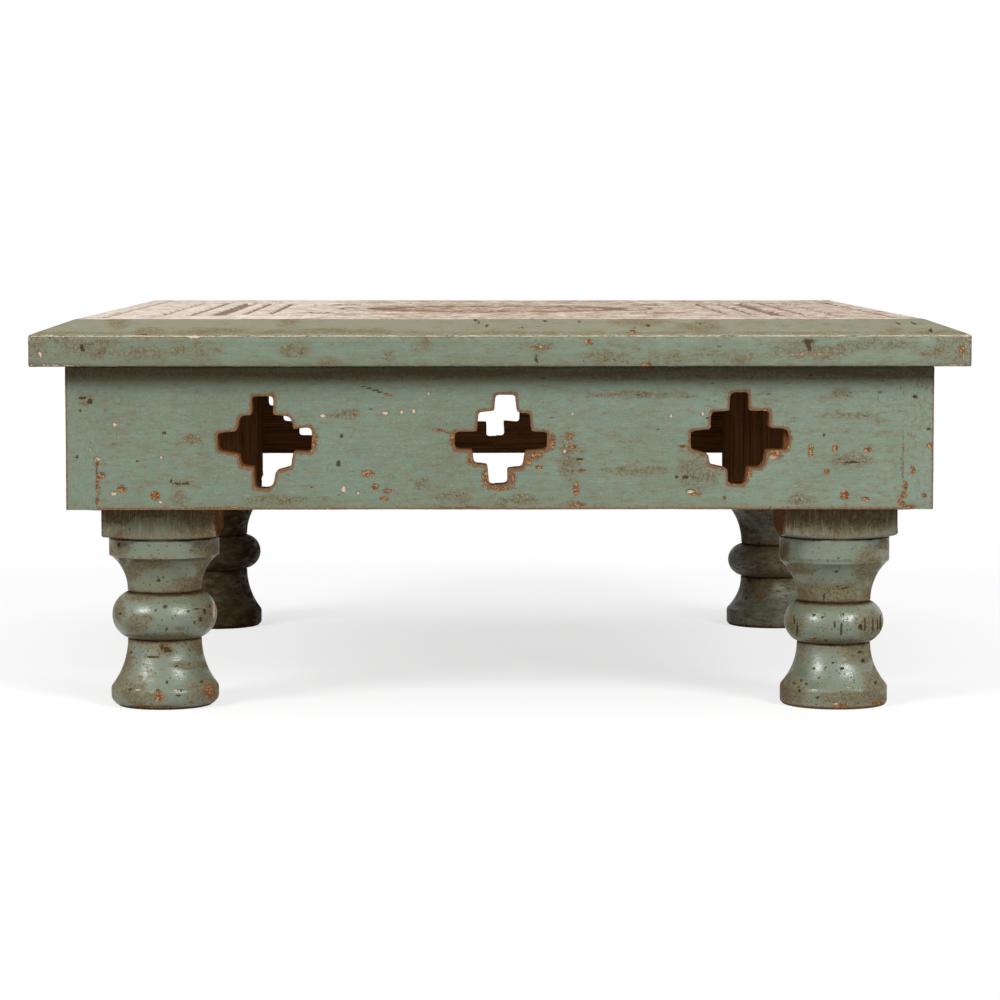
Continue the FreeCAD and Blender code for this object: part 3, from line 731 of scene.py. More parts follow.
class Graph:
    """Adds nodes to one material or world and links each input that is given another node's output."""

    def __init__(self, owner):
        self.owner = owner
        owner.use_nodes = True
        self.tree = owner.node_tree
        self.tree.nodes.clear()

    def add(self, kind, inputs=None, output=0, **choices):
        node = self.tree.nodes.new("ShaderNode" + kind)
        for name, value in choices.items():
            setattr(node, name, value)
        for name, value in (inputs or {}).items():
            if isinstance(value, bpy.types.NodeSocket):
                self.tree.links.new(value, node.inputs[name])
            else:
                node.inputs[name].default_value = value
        return node.outputs[output] if node.outputs else None

    def place(self):
        return self.add("TexCoord", output="Object")

    def stretched(self, place, scale):
        return self.add("Mapping", {"Vector": place, "Scale": scale})

    def pattern(self, place, name):
        """A noise of one of the named shapes."""
        feature, detail, roughness = pattern_shapes[name]
        inputs = {"Vector": place, "Scale": 1 / (feature * mm), "Detail": detail, "Roughness": roughness}
        return self.add("TexNoise", inputs, output="Fac")

    def cells(self, place, feature):
        return self.add("TexVoronoi", {"Vector": place, "Scale": 1 / feature}, output="Distance")

    def stored(self, name):
        return self.add("Attribute", output="Fac", attribute_name=name)

    def axis(self, place, name):
        return self.add("SeparateXYZ", {"Vector": place}, output=name)

    def ramp(self, value, low, high):
        inputs = {"Value": value, "From Min": low, "From Max": high}
        return self.add("MapRange", inputs, interpolation_type="SMOOTHSTEP")

    def math(self, operation, first, second):
        return self.add("Math", {0: first, 1: second}, operation=operation, use_clamp=False)

    def times(self, first, second):
        return self.math("MULTIPLY", first, second)

    def rest(self, value):
        """What is left of 1 when a value is taken away."""
        return self.math("SUBTRACT", 1.0, value)

    def most(self, *values):
        return reduce(lambda first, second: self.math("MAXIMUM", first, second), values)

    def total(self, values, shares):
        """The sum of the values, each times its share."""
        parts = (self.times(value, share) for value, share in zip(values, shares))
        return reduce(lambda first, second: self.math("ADD", first, second), parts)

    def mix(self, share, first, second):
        inputs = {0: share}
        for index, value in ((6, first), (7, second)):
            inputs[index] = value if isinstance(value, bpy.types.NodeSocket) else (*value, 1.0)
        return self.add("Mix", inputs, output=2, data_type="RGBA")

    def blend(self, share, first, second):
        """A value that goes from the first to the second as the share goes from 0 to 1."""
        return self.math("ADD", first, self.times(share, self.math("SUBTRACT", second, first)))

    def layer(self, name, value, strength=1.0):
        """A mask of one of the named layers, cut from a pattern."""
        low, high, *covers = layer_shares[name]
        mask = self.ramp(value, low, high)
        return self.times(mask, covers[0] * strength) if covers else mask

    def torn(self, name, value, noise):
        """A mask with a torn border: a smooth value broken up by a noise before it is cut off."""
        amount, low, high = torn_shares[name]
        shift = self.times(self.math("SUBTRACT", noise, 0.5), amount)
        return self.ramp(self.math("ADD", value, shift), low, high)

    def cover(self, tint, colour, mask, strength):
        """A colour laid over another by a mask and a strength."""
        return self.mix(self.times(mask, strength), tint, colour)

    def finish(self, tint, roughness, height, depth, shine):
        bump = self.add("Bump", {"Height": height, "Distance": depth, "Strength": 1.0})
        inputs = {"Base Color": tint, "Roughness": roughness, "Normal": bump, "Specular IOR Level": shine}
        surface = self.add("BsdfPrincipled", inputs)
        self.add("OutputMaterial", {"Surface": surface})
        return self.owner


def new_graph(name):
    return Graph(bpy.data.materials.new(name))


# How each axis is squeezed so that a pattern runs along the grain, or round a turning
grain_scales = {"x": (0.07, 1, 1), "y": (1, 0.07, 1), "z": (1, 1, 0.07), "round": (0.10, 0.10, 1)}
smear_scales = {"x": (0.36, 1, 1), "y": (1, 0.36, 1), "z": (1, 1, 0.28), "round": (0.42, 0.42, 1)}
timber_scales = {"x": (0.02, 1, 1), "y": (1, 0.02, 1), "z": (1, 1, 0.02)}
stroke_scales = (1, 0.45, 1)

# Each pattern's feature size in millimetres, its detail and its roughness
pattern_shapes = {
    "broad": (60, 3, 0.6), "clouds": (9, 8, 0.70), "blots": (3.2, 5, 0.72), "crumbs": (1.9, 6, 0.78),
    "dust": (0.8, 3, 0.7), "streaks": (1, 5, 0.7), "bands": (5, 4, 0.65), "round_lines": (0.9, 5, 0.7),
    "wash_streaks": (2.2, 6, 0.72), "wash_strokes": (9, 7, 0.72), "wash_crumbs": (2.4, 5, 0.8),
    "panel_tears": (3, 4, 0.6), "panel_streaks": (1.2, 6, 0.75), "panel_crumbs": (1.5, 4, 0.7),
    "timber_streaks": (1.3, 5, 0.7), "timber_bands": (10, 3, 0.6),
    "rust_patches": (2.6, 5, 0.7), "rust_grains": (0.5, 4, 0.7),
}
# Each layer's mask: the values of its pattern where it sets in and where it is full, and how much it covers
layer_shares = {
    "clean": (0.40, 0.56), "lifted": (0.51, 0.66, 0.70), "film": (0.48, 0.64, 0.66),
    "flecks": (0.53, 0.70, 0.30), "sunk": (0.47, 0.34, 0.46), "yellowed": (0.28, 0.52),
    "dirty": (-0.1, 0.8), "stained": (0.52, 0.80), "dark_speckle": (0.49, 0.56, 0.86),
    "pale_speckle": (0.45, 0.37, 0.6), "dark_furrows": (0.52, 0.62, 0.55),
    "pale_furrows": (0.46, 0.36, 0.30), "fitful": (0.30, 0.50), "raw_wood": (0.44, 0.50),
    "ochre": (0.50, 0.56), "splinters": (0.56, 0.62, 1), "rusty": (0.42, 0.56), "thin": (0.48, 0.74),
    "crumbled": (0.54, 0.66, 0.5), "worm_holes": (0.06, 0.03, 0.8), "timber": (0.37, 0.74),
    "panel_roughness": (-1.2, 1.6), "timber_roughness": (-1.4, 1.2), "rust": (0.40, 0.60),
    "rust_roughness": (-0.9, 1.0),
}
# Each torn mask: how far its noise shifts it, and the values where it sets in and where it is full
torn_shares = {
    "carved": (2.0, 0.28, 0.66), "soiled": (3.4, 0.5, 1.1), "pit": (2.2, 0.45, 0.55),
    "wash": (0.5, 0.45, 0.55), "rubbed": (1.8, 0.26, 0.52), "primer": (2.4, 0.46, 0.70),
    "bare": (4.2, 0.48, 0.72), "grime": (0.9, 0.15, 0.90), "inside": (0.3, 0.45, 0.55),
}
# How far each blend of two patterns leans to its second one
blend_shares = {
    "lift": 0.6, "film": 0.35, "flecks": 0.5, "yellowed": 0.5, "speckle": 0.5, "soil": 0.5, "smudges": 0.4,
    "torn": 0.35, "wash": 0.5,
}
# How much of each pattern or mask goes into a sum of them
sum_shares = {
    "tone": (0.4, 0.35, 0.25), "thin": (0.36, 0.64, 0.30), "timber": (0.7, 0.5), "panel_height": (0.5, 0.5),
}
# How strongly each kind of wear, dirt and painted shade covers what lies under it
cover_shares = {
    "soiled": 0.74, "stain": 0.30, "stained": 0.50, "specks": 0.7, "dark": 0.80, "broken": 0.9,
    "primer": 0.90, "bare": 0.92, "grime": 0.86, "worn_wash": 0.90, "carved": 0.45, "least_cream": 0.62,
    "dull_soil": 0.6,
}
speck_reach_share = 0.08
speck_size = 0.62 * mm
speck_fade_share = 0.05
speck_stray_share = 0.16
streak_height_share = 0.45
lost_height_share = 0.8
worn_roughness = 0.85
# Where the painted light that lightens the paint towards the right sets in
pale_start = -90 * mm
worm_hole_gap = 17 * mm
nail_fade = 4 * mm
timber_relief = 0.4 * mm
rust_relief = 0.2 * mm


def wood_tint(graph, place, axis):
    """Old unpainted wood with long streaks along its grain."""
    finish = settings("finish")
    grain = graph.stretched(place, timber_scales[axis])
    patterns = [graph.pattern(grain, name) for name in ("timber_streaks", "timber_bands")]
    share = graph.total(patterns, sum_shares["timber"])
    return graph.mix(graph.layer("timber", share), finish.grime, finish.old_wood)


def wash_tint(graph, place, grain):
    """Cream wash, rubbed thin in streaks and strokes, with brown wood in the carving. On the panel these
    browns also lay painted shade round the flower and along its rings.
    """
    finish = settings("finish")
    carved = graph.stored("carved")
    rubbed = graph.stored("rubbed")
    streaks = graph.pattern(grain, "wash_streaks")
    strokes = graph.pattern(graph.stretched(place, stroke_scales), "wash_strokes")
    crumbs = graph.pattern(place, "wash_crumbs")
    thin = graph.total((streaks, strokes, rubbed), sum_shares["thin"])
    tint = graph.mix(graph.layer("thin", thin), finish.wash, finish.wash_rubbed)
    tint = graph.mix(graph.layer("crumbled", crumbs), tint, finish.wash_rubbed)
    worn = graph.torn("carved", carved, graph.blend(blend_shares["wash"], strokes, crumbs))
    tint = graph.cover(tint, finish.groove, worn, cover_shares["worn_wash"])
    tint = graph.cover(tint, finish.wash_rubbed, carved, cover_shares["carved"])
    holes = graph.layer("worm_holes", graph.cells(place, worm_hole_gap))
    return graph.mix(holes, tint, finish.grime)


def paint_patterns(graph, place, axis):
    """The noises that the paint's layers are cut from. On a leg they run round the turning."""
    grain = graph.stretched(place, grain_scales[axis])
    smear = graph.stretched(place, smear_scales[axis])
    runs = {"broad": place, "clouds": place, "blots": smear, "crumbs": place, "dust": place}
    runs.update({"streaks": grain, "bands": grain})
    noise = SimpleNamespace(**{name: graph.pattern(run, name) for name, run in runs.items()})
    noise.place = place
    noise.grain = grain
    noise.specked = smear
    noise.soil = noise.bands
    if axis == "z":
        noise.turned = graph.stored("turned")
        lines = graph.pattern(graph.stretched(place, grain_scales["round"]), "round_lines")
        noise.streaks = graph.blend(noise.turned, noise.streaks, lines)
        blots = graph.pattern(graph.stretched(place, smear_scales["round"]), "blots")
        noise.blots = graph.blend(noise.turned, noise.blots, blots)
        noise.specked = place
        noise.soil = noise.clouds
    noise.speckle = graph.blend(blend_shares["speckle"], noise.dust, noise.crumbs)
    noise.torn = graph.blend(blend_shares["torn"], noise.crumbs, noise.dust)
    return noise


def brushed_tint(graph, noise, brush, painted_light_right):
    """Brushed sage paint under an olive film, yellowed where it has faded, and lightened towards the right
    as painted light.
    """
    finish = settings("finish")
    tone = graph.total((noise.broad, noise.bands, noise.clouds), sum_shares["tone"])
    tint = graph.mix(graph.layer("clean", tone), finish.sage_deep, finish.sage)
    lift = graph.blend(blend_shares["lift"], noise.streaks, noise.dust)
    tint = graph.mix(graph.layer("lifted", lift, brush), tint, finish.sage_pale)
    # Painted light: the paint is made lighter towards the right, where the light falls brighter
    painted_light = graph.ramp(graph.axis(noise.place, "X"), pale_start, top_reach)
    tint = graph.cover(tint, finish.sage_pale, painted_light, painted_light_right)
    film = graph.blend(blend_shares["film"], noise.blots, noise.streaks)
    tint = graph.mix(graph.layer("film", film, brush), tint, finish.olive)
    flecks = graph.blend(blend_shares["flecks"], noise.crumbs, noise.blots)
    tint = graph.mix(graph.layer("flecks", flecks, brush), tint, finish.stain)
    tint = graph.mix(graph.layer("sunk", lift, brush), tint, finish.stain)
    yellowed = graph.layer("yellowed", graph.blend(blend_shares["yellowed"], film, noise.clouds))
    return graph.cover(tint, finish.faded, graph.stored("faded"), yellowed)


def stained_tint(graph, noise, tint, brush):
    """Paint darkened olive and brown along its grain where its soil value is high, as soiling and as
    painted shade, with speckled stains; and the mask of the stains.
    """
    finish = settings("finish")
    soiled = graph.stored("soiled")
    tint = graph.cover(tint, finish.olive, soiled, graph.layer("dirty", noise.clouds))
    ground_in = graph.torn("soiled", soiled, graph.blend(blend_shares["soil"], noise.crumbs, noise.soil))
    tint = graph.cover(tint, finish.stain, ground_in, cover_shares["soiled"])
    smudges = graph.blend(blend_shares["smudges"], noise.blots, noise.clouds)
    spread = graph.times(graph.stored("stain"), cover_shares["stain"])
    stained = graph.layer("stained", graph.math("ADD", spread, smudges))
    tint = graph.cover(tint, finish.olive, stained, cover_shares["stained"])
    tint = graph.cover(tint, finish.stain, stained, graph.layer("dark_speckle", noise.speckle))
    tint = graph.cover(tint, finish.primer, stained, graph.layer("pale_speckle", noise.speckle, brush ** 2))
    return tint, stained


def furrowed_tint(graph, noise, tint):
    """A leg's paint with dark and pale furrows up its block."""
    finish = settings("finish")
    furrowed = graph.rest(noise.turned)
    tint = graph.cover(tint, finish.stain, graph.layer("dark_furrows", noise.streaks), furrowed)
    return graph.cover(tint, finish.primer, graph.layer("pale_furrows", noise.streaks), furrowed)


def dark_pits(graph, noise, speck_gap):
    """A mask of the strewn specks and of the pits."""
    reach = speck_reach_share + speck_size / speck_gap
    shift = graph.times(noise.crumbs, speck_stray_share)
    strayed = graph.math("ADD", graph.cells(noise.specked, speck_gap), shift)
    specks = graph.ramp(strayed, reach, reach - speck_fade_share)
    pits = graph.torn("pit", graph.stored("pit"), noise.speckle)
    return graph.most(graph.times(specks, cover_shares["specks"]), pits)


def chipped_tint(graph, noise, tint, creamy, barer, fringe):
    """Paint worn through to its cream ground and to the wood, with the masks of what shows."""
    finish = settings("finish")
    arris = graph.stored("arris")
    broken = graph.most(graph.stored("primer"), graph.stored("bare"))
    broken = graph.times(broken, cover_shares["broken"])
    rubbed = graph.torn("rubbed", graph.most(arris, broken), noise.torn)
    tint = graph.cover(tint, finish.rubbed, rubbed, fringe)
    fitful = graph.blend(graph.layer("fitful", noise.clouds), cover_shares["least_cream"], 1.0)
    cream = graph.times(graph.times(arris, creamy), fitful)
    creamed = graph.torn("primer", graph.most(graph.stored("primer"), cream), noise.torn)
    tint = graph.cover(tint, finish.primer, creamed, cover_shares["primer"])
    bare = graph.most(graph.stored("bare"), graph.times(arris, barer))
    chipped = graph.torn("bare", bare, noise.torn)
    raw = graph.mix(graph.layer("raw_wood", noise.speckle), finish.stain, finish.raw_wood)
    raw = graph.mix(graph.layer("ochre", noise.speckle), raw, finish.ochre)
    raw = graph.mix(graph.layer("splinters", noise.speckle, creamy), raw, finish.primer)
    tint = graph.cover(tint, raw, chipped, cover_shares["bare"])
    return tint, raw, rubbed, graph.most(creamed, chipped)


def painted(
    name, axis, gloss, brush=1.0, creamy=0.85, barer=0.66, speck_gap=8 * mm, sheen=0.5, painted_light_right=0.26,
    fringe=0.80, grit=0.12, relief=0.55 * mm, washed=False, nailed=False,
):
    """Sage paint over a cream ground on brown wood: brushed along one axis, stained, chipped and grimy, and
    darkened and lightened where painted shade and painted light are laid in.
    """
    finish = settings("finish")
    graph = new_graph(name)
    place = graph.place()
    noise = paint_patterns(graph, place, axis)
    tint = brushed_tint(graph, noise, brush, painted_light_right)
    tint, stained = stained_tint(graph, noise, tint, brush)
    if axis == "z":
        tint = furrowed_tint(graph, noise, tint)
    dark = dark_pits(graph, noise, speck_gap)
    tint = graph.cover(tint, finish.pitted, dark, cover_shares["dark"])
    if washed:
        limewashed = graph.torn("wash", graph.stored("wash"), noise.crumbs)
        tint = graph.mix(limewashed, tint, wash_tint(graph, place, noise.grain))
    tint, raw, rubbed, chipped = chipped_tint(graph, noise, tint, creamy, barer, fringe)
    # Dark brown where the value asks for it: dirt in grooves and joints, and painted shade under and behind
    # parts
    dirt_and_shade = graph.torn("grime", graph.stored("grime"), noise.blots)
    tint = graph.cover(tint, finish.grime, dirt_and_shade, cover_shares["grime"])
    inside = graph.torn("inside", graph.stored("inside"), noise.crumbs)
    tint = graph.mix(inside, tint, wood_tint(graph, place, axis))

    lost = graph.most(chipped, dark)
    if nailed:
        middle = (apron_low + apron_high) / 2
        shown = graph.ramp(graph.axis(place, "Z"), middle + nail_fade, middle)
        rust = graph.mix(graph.layer("rusty", noise.crumbs), finish.rust, raw)
        tint = graph.mix(shown, tint, rust)
        lost = graph.most(lost, shown)
    streaked = graph.times(noise.streaks, streak_height_share)
    height = graph.math("SUBTRACT", streaked, graph.times(lost, lost_height_share))
    height = graph.math("ADD", height, graph.times(noise.dust, grit))
    soil = graph.times(graph.stored("soiled"), cover_shares["dull_soil"])
    dull = graph.most(lost, dirt_and_shade, inside, rubbed, soil)
    if washed:
        dull = graph.most(dull, limewashed)
    roughness = graph.blend(graph.most(dull, stained), gloss, worn_roughness)
    return graph.finish(tint, roughness, height, relief, graph.times(graph.rest(dull), sheen))


def washed_panel(name, shine=0.15):
    """The panel's cream wash over carved brown wood."""
    graph = new_graph(name)
    place = graph.place()
    grain = graph.stretched(place, grain_scales["x"])
    tint = wash_tint(graph, place, grain)
    inside = graph.torn("inside", graph.stored("inside"), graph.pattern(place, "panel_tears"))
    tint = graph.mix(inside, tint, wood_tint(graph, place, "x"))
    streaks = graph.pattern(grain, "panel_streaks")
    height = graph.total((streaks, graph.pattern(place, "panel_crumbs")), sum_shares["panel_height"])
    return graph.finish(tint, graph.layer("panel_roughness", streaks), height, timber_relief, shine)


def bare_timber(name, axis, shine=0.1):
    """Old unpainted wood."""
    graph = new_graph(name)
    place = graph.place()
    streaks = graph.pattern(graph.stretched(place, timber_scales[axis]), "timber_streaks")
    roughness = graph.layer("timber_roughness", streaks)
    return graph.finish(wood_tint(graph, place, axis), roughness, streaks, timber_relief, shine)


def rusty_iron(name, shine=0.2):
    """Iron under rust."""
    finish = settings("finish")
    graph = new_graph(name)
    place = graph.place()
    patches = graph.pattern(place, "rust_patches")
    grains = graph.pattern(place, "rust_grains")
    tint = graph.mix(graph.layer("rust", patches), finish.iron, finish.rust)
    return graph.finish(tint, graph.layer("rust_roughness", grains), grains, rust_relief, shine)


# The top's rails
edge_cuts = 5
bevel_cuts = 7


def cut_strips(outer, edge_level):
    """Cuts the rail's faces into strips along it, so that they can be worn evenly."""
    top = settings("top")
    for index in range(1, edge_cuts):
        cut_plane((0, outer, rail_low + index / edge_cuts * (edge_level - rail_low)), (0, 0, 1))
    for index in range(1, bevel_cuts):
        cut_plane((0, outer + index / bevel_cuts * top.bevel_run, top_level), (0, 1, 0))
    cut_plane((0, (outer + top.bevel_run - rail_inner) / 2, top_level), (0, 1, 0))


def rail_blank():
    """The front rail before it is worn: bevelled, mitred and grooved for the boards."""
    top = settings("top")
    place = {"location": (rail_box_low + rail_box_high) / 2, "scale": rail_box_high - rail_box_low}
    piece = start(bpy.ops.mesh.primitive_cube_add, "rail_blank", size=1, **place)
    outer = -top_reach
    edge_level = top_level - top.bevel_rise
    edit(piece)
    cut_plane((0, outer, edge_level), (0, -top.bevel_rise, top.bevel_run), keep_both=False)
    for side in (-1, 1):
        cut_plane((side * top_reach, outer, top_level), (side, 1, 0), keep_both=False)
    groove_low = board_low + top.tongue_under
    for level in (groove_low, groove_low + top.groove_height):
        cut_plane((0, outer, level), (0, 0, 1))
    middle = groove_low + top.groove_height / 2
    choose_faces(piece, lambda at, normal: normal.y > 0.9 and abs(at.z - middle) < top.groove_height / 4)
    bpy.ops.mesh.extrude_region_move(TRANSFORM_OT_translate={"value": (0, -top.groove_depth, 0)})
    cut_strips(outer, edge_level)
    bpy.ops.mesh.select_mode(type="EDGE")
    flat = [(outer + top.bevel_run, top_level), (-rail_inner, top_level)]
    corners = [(outer, rail_low), (outer, edge_level), *flat, (-rail_inner, rail_low)]

    def on_arris(at, way):
        return abs(way.x) > 0.9 and min(hypot(at.y - y, at.z - z) for y, z in corners) < 10 * tolerance

    choose_edges(piece, on_arris)
    bpy.ops.mesh.bevel(offset=top.arris, offset_type="OFFSET", segments=4, profile=0.5, affect="EDGES")
    cuts = ceil(sqrt(2 * top_reach / top.slice)) - 1
    for _ in range(2):
        choose_edges(piece, lambda at, way: abs(way.x) > 0.9)
        bpy.ops.mesh.subdivide(number_cuts=cuts)
    close()
    return piece


def copy_of(piece, name):
    """A copy of a piece with its own mesh."""
    focus(piece)
    bpy.ops.object.duplicate()
    copy = bpy.context.object
    copy.name = name
    copy.data.name = name
    return copy


def rail_edges(local):
    """How near each point of a front rail is to its worn edges."""
    top = settings("top")
    x, y, z = local.T
    lower = np.hypot(y + top_reach, z - rail_low)
    upper = np.hypot(y + top_reach, z - (top_level - top.bevel_rise))
    shoulder = np.hypot(y + top_reach - top.bevel_run, z - top_level)
    end = np.hypot(np.abs(x) - top_reach, y + top_reach)
    return most(
        near(upper, top.arris),
        rail_wear.lower_share * near(lower, top.arris),
        rail_wear.end_share * near(end, top.arris),
        rail_wear.shoulder_share * near(shoulder, top.arris),
    )


def rail_values(points, normals, quarters, arris):
    """The values that a rail's material reads."""
    top = settings("top")
    worn = rail_wear
    x, y, z = turned_points(points, -quarters).T
    outward = worn.upward_share * normals[:, 2] - turned_points(normals, -quarters)[:, 1]
    facing = 1 if quarters == 0 else None
    likely = worn.likely_share + arris
    marks = marks_of("rail", points, normals, likely, np.ones(len(points)), quarters, facing)
    flat_start = -top_reach + top.bevel_run
    on_flat = z > top_level - worn.flat_depth
    joint = near(y + rail_inner, worn.joint) * on_flat
    mitre = near(np.abs(np.abs(x) + y) / sqrt(2), worn.mitre)
    # Painted shade: the rails' undersides are darkened dark brown
    under = smooth_step(-normals[:, 2], *worn.under_shares) * (z < rail_low + worn.under_depth)
    bevel_foot = near(y + top_reach - worn.foot_run, worn.foot) * (z > top_level - top.bevel_rise)
    faded = smooth_step(y, -top_reach + worn.faded_start, -top_reach + worn.faded_end)
    sideways = smooth_step(points[:, 0], rubbed_start, rubbed_full)
    low_edge = near(z - rail_low, worn.low_edge)
    return dict(
        marks,
        arris=arris * smooth_step(outward, *worn.outward_shares),
        stain=most(marks["stain"], worn.foot_share * bevel_foot),
        grime=most(worn.under_share * under, worn.mitre_share * mitre, worn.joint_share * joint),
        wash=smooth_step(y, flat_start - worn.wash_fade, flat_start + worn.wash_fade) * on_flat,
        carved=worn.carved_share * near(y + rail_inner, worn.carved),
        rubbed=worn.rubbed_share + worn.right_share * sideways,
        soiled=worn.low_share * low_edge + worn.stain_share * marks["stain"],
        faded=faded * (z > rail_low + worn.faded_rise),
        inside=smooth_step(y, -rail_inner - worn.inside, -rail_inner) * (z < top_level - worn.inside_depth),
    )


def add_rail(blank, quarters, materials):
    """One worn rail of the top's frame."""
    top = settings("top")
    side = side_names[quarters]
    piece = copy_of(blank, "rail_" + side)
    turn(piece, quarters)
    arris = rail_edges(turned_points(points_of(piece), -quarters))
    weigh(piece, "arris", arris)
    wear(piece, rail_wear.wave, top.waviness)
    wear(piece, rail_wear.nick, top.nicks, group="arris", detail=3)
    wear(piece, rail_wear.scuff, rail_wear.scuff_share * top.waviness)
    smooth_shading(piece, rail_smooth_angle)
    paint_values(piece, **rail_values(points_of(piece), normals_of(piece), quarters, arris))
    finish_piece(piece, "top_rail_" + side, materials[quarters % 2])


# The carved boards


def trench(distance, half_width, wall):
    """How deep a groove with sloping walls is, as a share, at a distance from its middle."""
    return smooth_step(half_width - np.abs(distance), 0, wall)


def leaf_cut(along, aside, first, last, width):
    """A leaf-shaped hollow, deepest along its vein, between two places on a line."""
    share = np.clip((along - first) / (last - first), 0, 1)
    half = width / 2 * np.sqrt(np.clip(np.sin(pi * share), 0, 1)) + 1e-9
    inside = (along > first) & (along < last)
    return inside * np.clip(1.25 * (1 - np.abs(aside) / half), 0, 1)


def petal_round(x, y, count, shares, width, turn_share=0.0):
    """A round of leaf-shaped hollows about the flower's middle."""
    radius = settings("carving").flower_radius
    step = 2 * pi / count
    angle = np.arctan2(y, x) - turn_share * step
    off = (angle + step / 2) % step - step / 2
    distance = np.hypot(x, y)
    along, aside = distance * np.cos(off), distance * np.sin(off)
    return leaf_cut(along, aside, shares[0] * radius, shares[1] * radius, width)


def corner_spray(x, y):
    """A spray of leaves in each corner of the field, pointing at the flower."""
    carving = settings("carving")
    radius = carving.flower_radius
    x = np.abs(x)
    y = np.abs(y)
    root = corner_leaf_shares[1] * radius / sqrt(2) + carving.leaf_width / 2
    towards = np.arctan2(root - y, root - x)
    distance = np.hypot(root - x, root - y)
    deep = np.zeros(len(x))
    longest = (corner_leaf_shares[1] - corner_leaf_shares[0]) * radius
    for index in range(carving.corner_leaves):
        share = (index + 0.5) / carving.corner_leaves - 0.5
        off = towards - pi / 4 - share * leaf_spread
        reach = longest * (1 - leaf_fall_share * abs(share))
        root_end = leaf_root_share * reach
        leaf = leaf_cut(distance * np.cos(off), distance * np.sin(off), root_end, reach, carving.leaf_width)
        deep = most(deep, leaf)
    return deep


def carved_depth(x, y):
    """How deep the panel is carved at each place, as a share of the full depth."""
    carving = settings("carving")
    inset = rail_inner - most(np.abs(x), np.abs(y))
    distance = np.hypot(x, y)
    cuts = [
        trench(inset - share * carving.border, width_share * carving.groove_width / 2, carving.wall_run)
        for share, width_share in zip(border_groove_shares, border_groove_width_shares)
    ]
    for share in ring_radius_shares:
        ring = trench(distance - share * carving.flower_radius, carving.ring_width / 2, carving.wall_run)
        cuts.append(cut_depth_shares["ring"] * ring)
    cuts.append(petal_round(x, y, carving.outer_petals, outer_petal_shares, carving.outer_petal_width))
    cuts.append(petal_round(x, y, carving.inner_petals, inner_petal_shares, carving.inner_petal_width))
    width = between_petal_width_share * carving.outer_petal_width
    between = petal_round(x, y, carving.outer_petals, between_petal_shares, width, 0.5)
    cuts.append(cut_depth_shares["between"] * between)
    cuts.append(cut_depth_shares["corner"] * corner_spray(x, y))
    return most(*cuts)


def board_blank(name, near_y, far_y):
    """A carved board: a fine grid pressed down into the carving, with sides and an underside."""
    carving = settings("carving")
    worn = board_wear
    width = 2 * (rail_inner - worn.gap)
    depth = far_y - near_y
    across, along = (ceil(side / carving.spacing) for side in (width, depth))
    add = bpy.ops.mesh.primitive_grid_add
    piece = start(add, name, size=1, x_subdivisions=across, y_subdivisions=along)
    piece.scale = (width, depth, 1)
    piece.location = (0, (near_y + far_y) / 2, top_level)
    settle(piece)
    points = points_of(piece)
    x, y = points[:, 0], points[:, 1]
    rounding = worn.rounding * near(np.minimum(y - near_y, far_y - y), worn.rounding_reach)
    points[:, 2] = top_level - carving.depth * carved_depth(x, y) - rounding
    place_points(piece, points)
    wear(piece, worn.wave, carving.crown)
    wear(piece, worn.scuff, worn.scuff_depth, detail=3)
    edit(piece)
    bpy.ops.mesh.select_all(action="SELECT")
    bpy.ops.mesh.region_to_loop()
    bpy.ops.mesh.extrude_edges_move(TRANSFORM_OT_translate={"value": (0, 0, board_low - top_level)})
    close()
    points = points_of(piece)
    points[points[:, 2] < (board_low + top_level) / 2, 2] = board_low
    place_points(piece, points)
    edit(piece, "EDGE")
    choose_edges(piece, lambda at, way: abs(at.z - board_low) < tolerance and abs(way.z) < 0.5)
    bpy.ops.mesh.edge_face_add()
    close()
    smooth_shading(piece, board_smooth_angle)
    return piece


def board_values(points, near_y, far_y):
    """The values that a board's material reads."""
    carving = settings("carving")
    worn = board_wear
    x, y, z = points.T
    radius = carving.flower_radius
    distance = np.hypot(x, y)
    busy = near(distance - worn.busy_share * radius, worn.busy_reach_share * radius)
    edge = np.minimum(y - near_y, far_y - y)
    rim = rail_inner - worn.gap - np.abs(x)
    joint = most(near(edge, worn.joint), near(rim, worn.joint))
    # Painted shadow: a ring round the flower, darker on its far side, laid in as brown in the carving value
    # and as thinner wash
    from_shadow = np.hypot(x - worn.shadow_x, y - worn.shadow_y)
    far_side = 0.5 + 0.5 * (y - worn.shadow_y) / np.maximum(from_shadow, mm)
    shadow = smooth_step(from_shadow, worn.shadow_start, worn.shadow_full)
    shadow = shadow * smooth_step(worn.shadow_end - from_shadow, 0, worn.shadow_fade)
    sideways = worn.right_share * smooth_step(x, rubbed_start, rubbed_full)
    rubbed = worn.rubbed_share + sideways + worn.rubbed_shadow_share * shadow
    rubbed = rubbed + worn.rubbed_busy_share * busy
    shown = worn.shown_share + (1 - worn.shown_share) * smooth_step(y, worn.shown_start, worn.shown_full)
    inset = rail_inner - most(np.abs(x), np.abs(y))
    broad = near(inset - border_groove_shares[2] * carving.border, worn.broad)
    deepest = worn.carved_share - worn.broad_share * broad
    carved = np.minimum(worn.deepening * carved_depth(x, y), deepest) * shown
    # Painted shade along each ring of the flower
    rings = [
        strength * near(distance - share * radius, worn.ring)
        for share, strength in zip(ring_radius_shares, ring_shade_shares)
    ]
    shadow = shadow * (worn.shadow_share + worn.far_shadow_share * far_side)
    return dict(
        carved=most(carved, shadow, *rings, worn.joint_share * joint),
        rubbed=rubbed,
        inside=smooth_step(top_level - worn.under_depth - z, 0, worn.under_fade),
    )


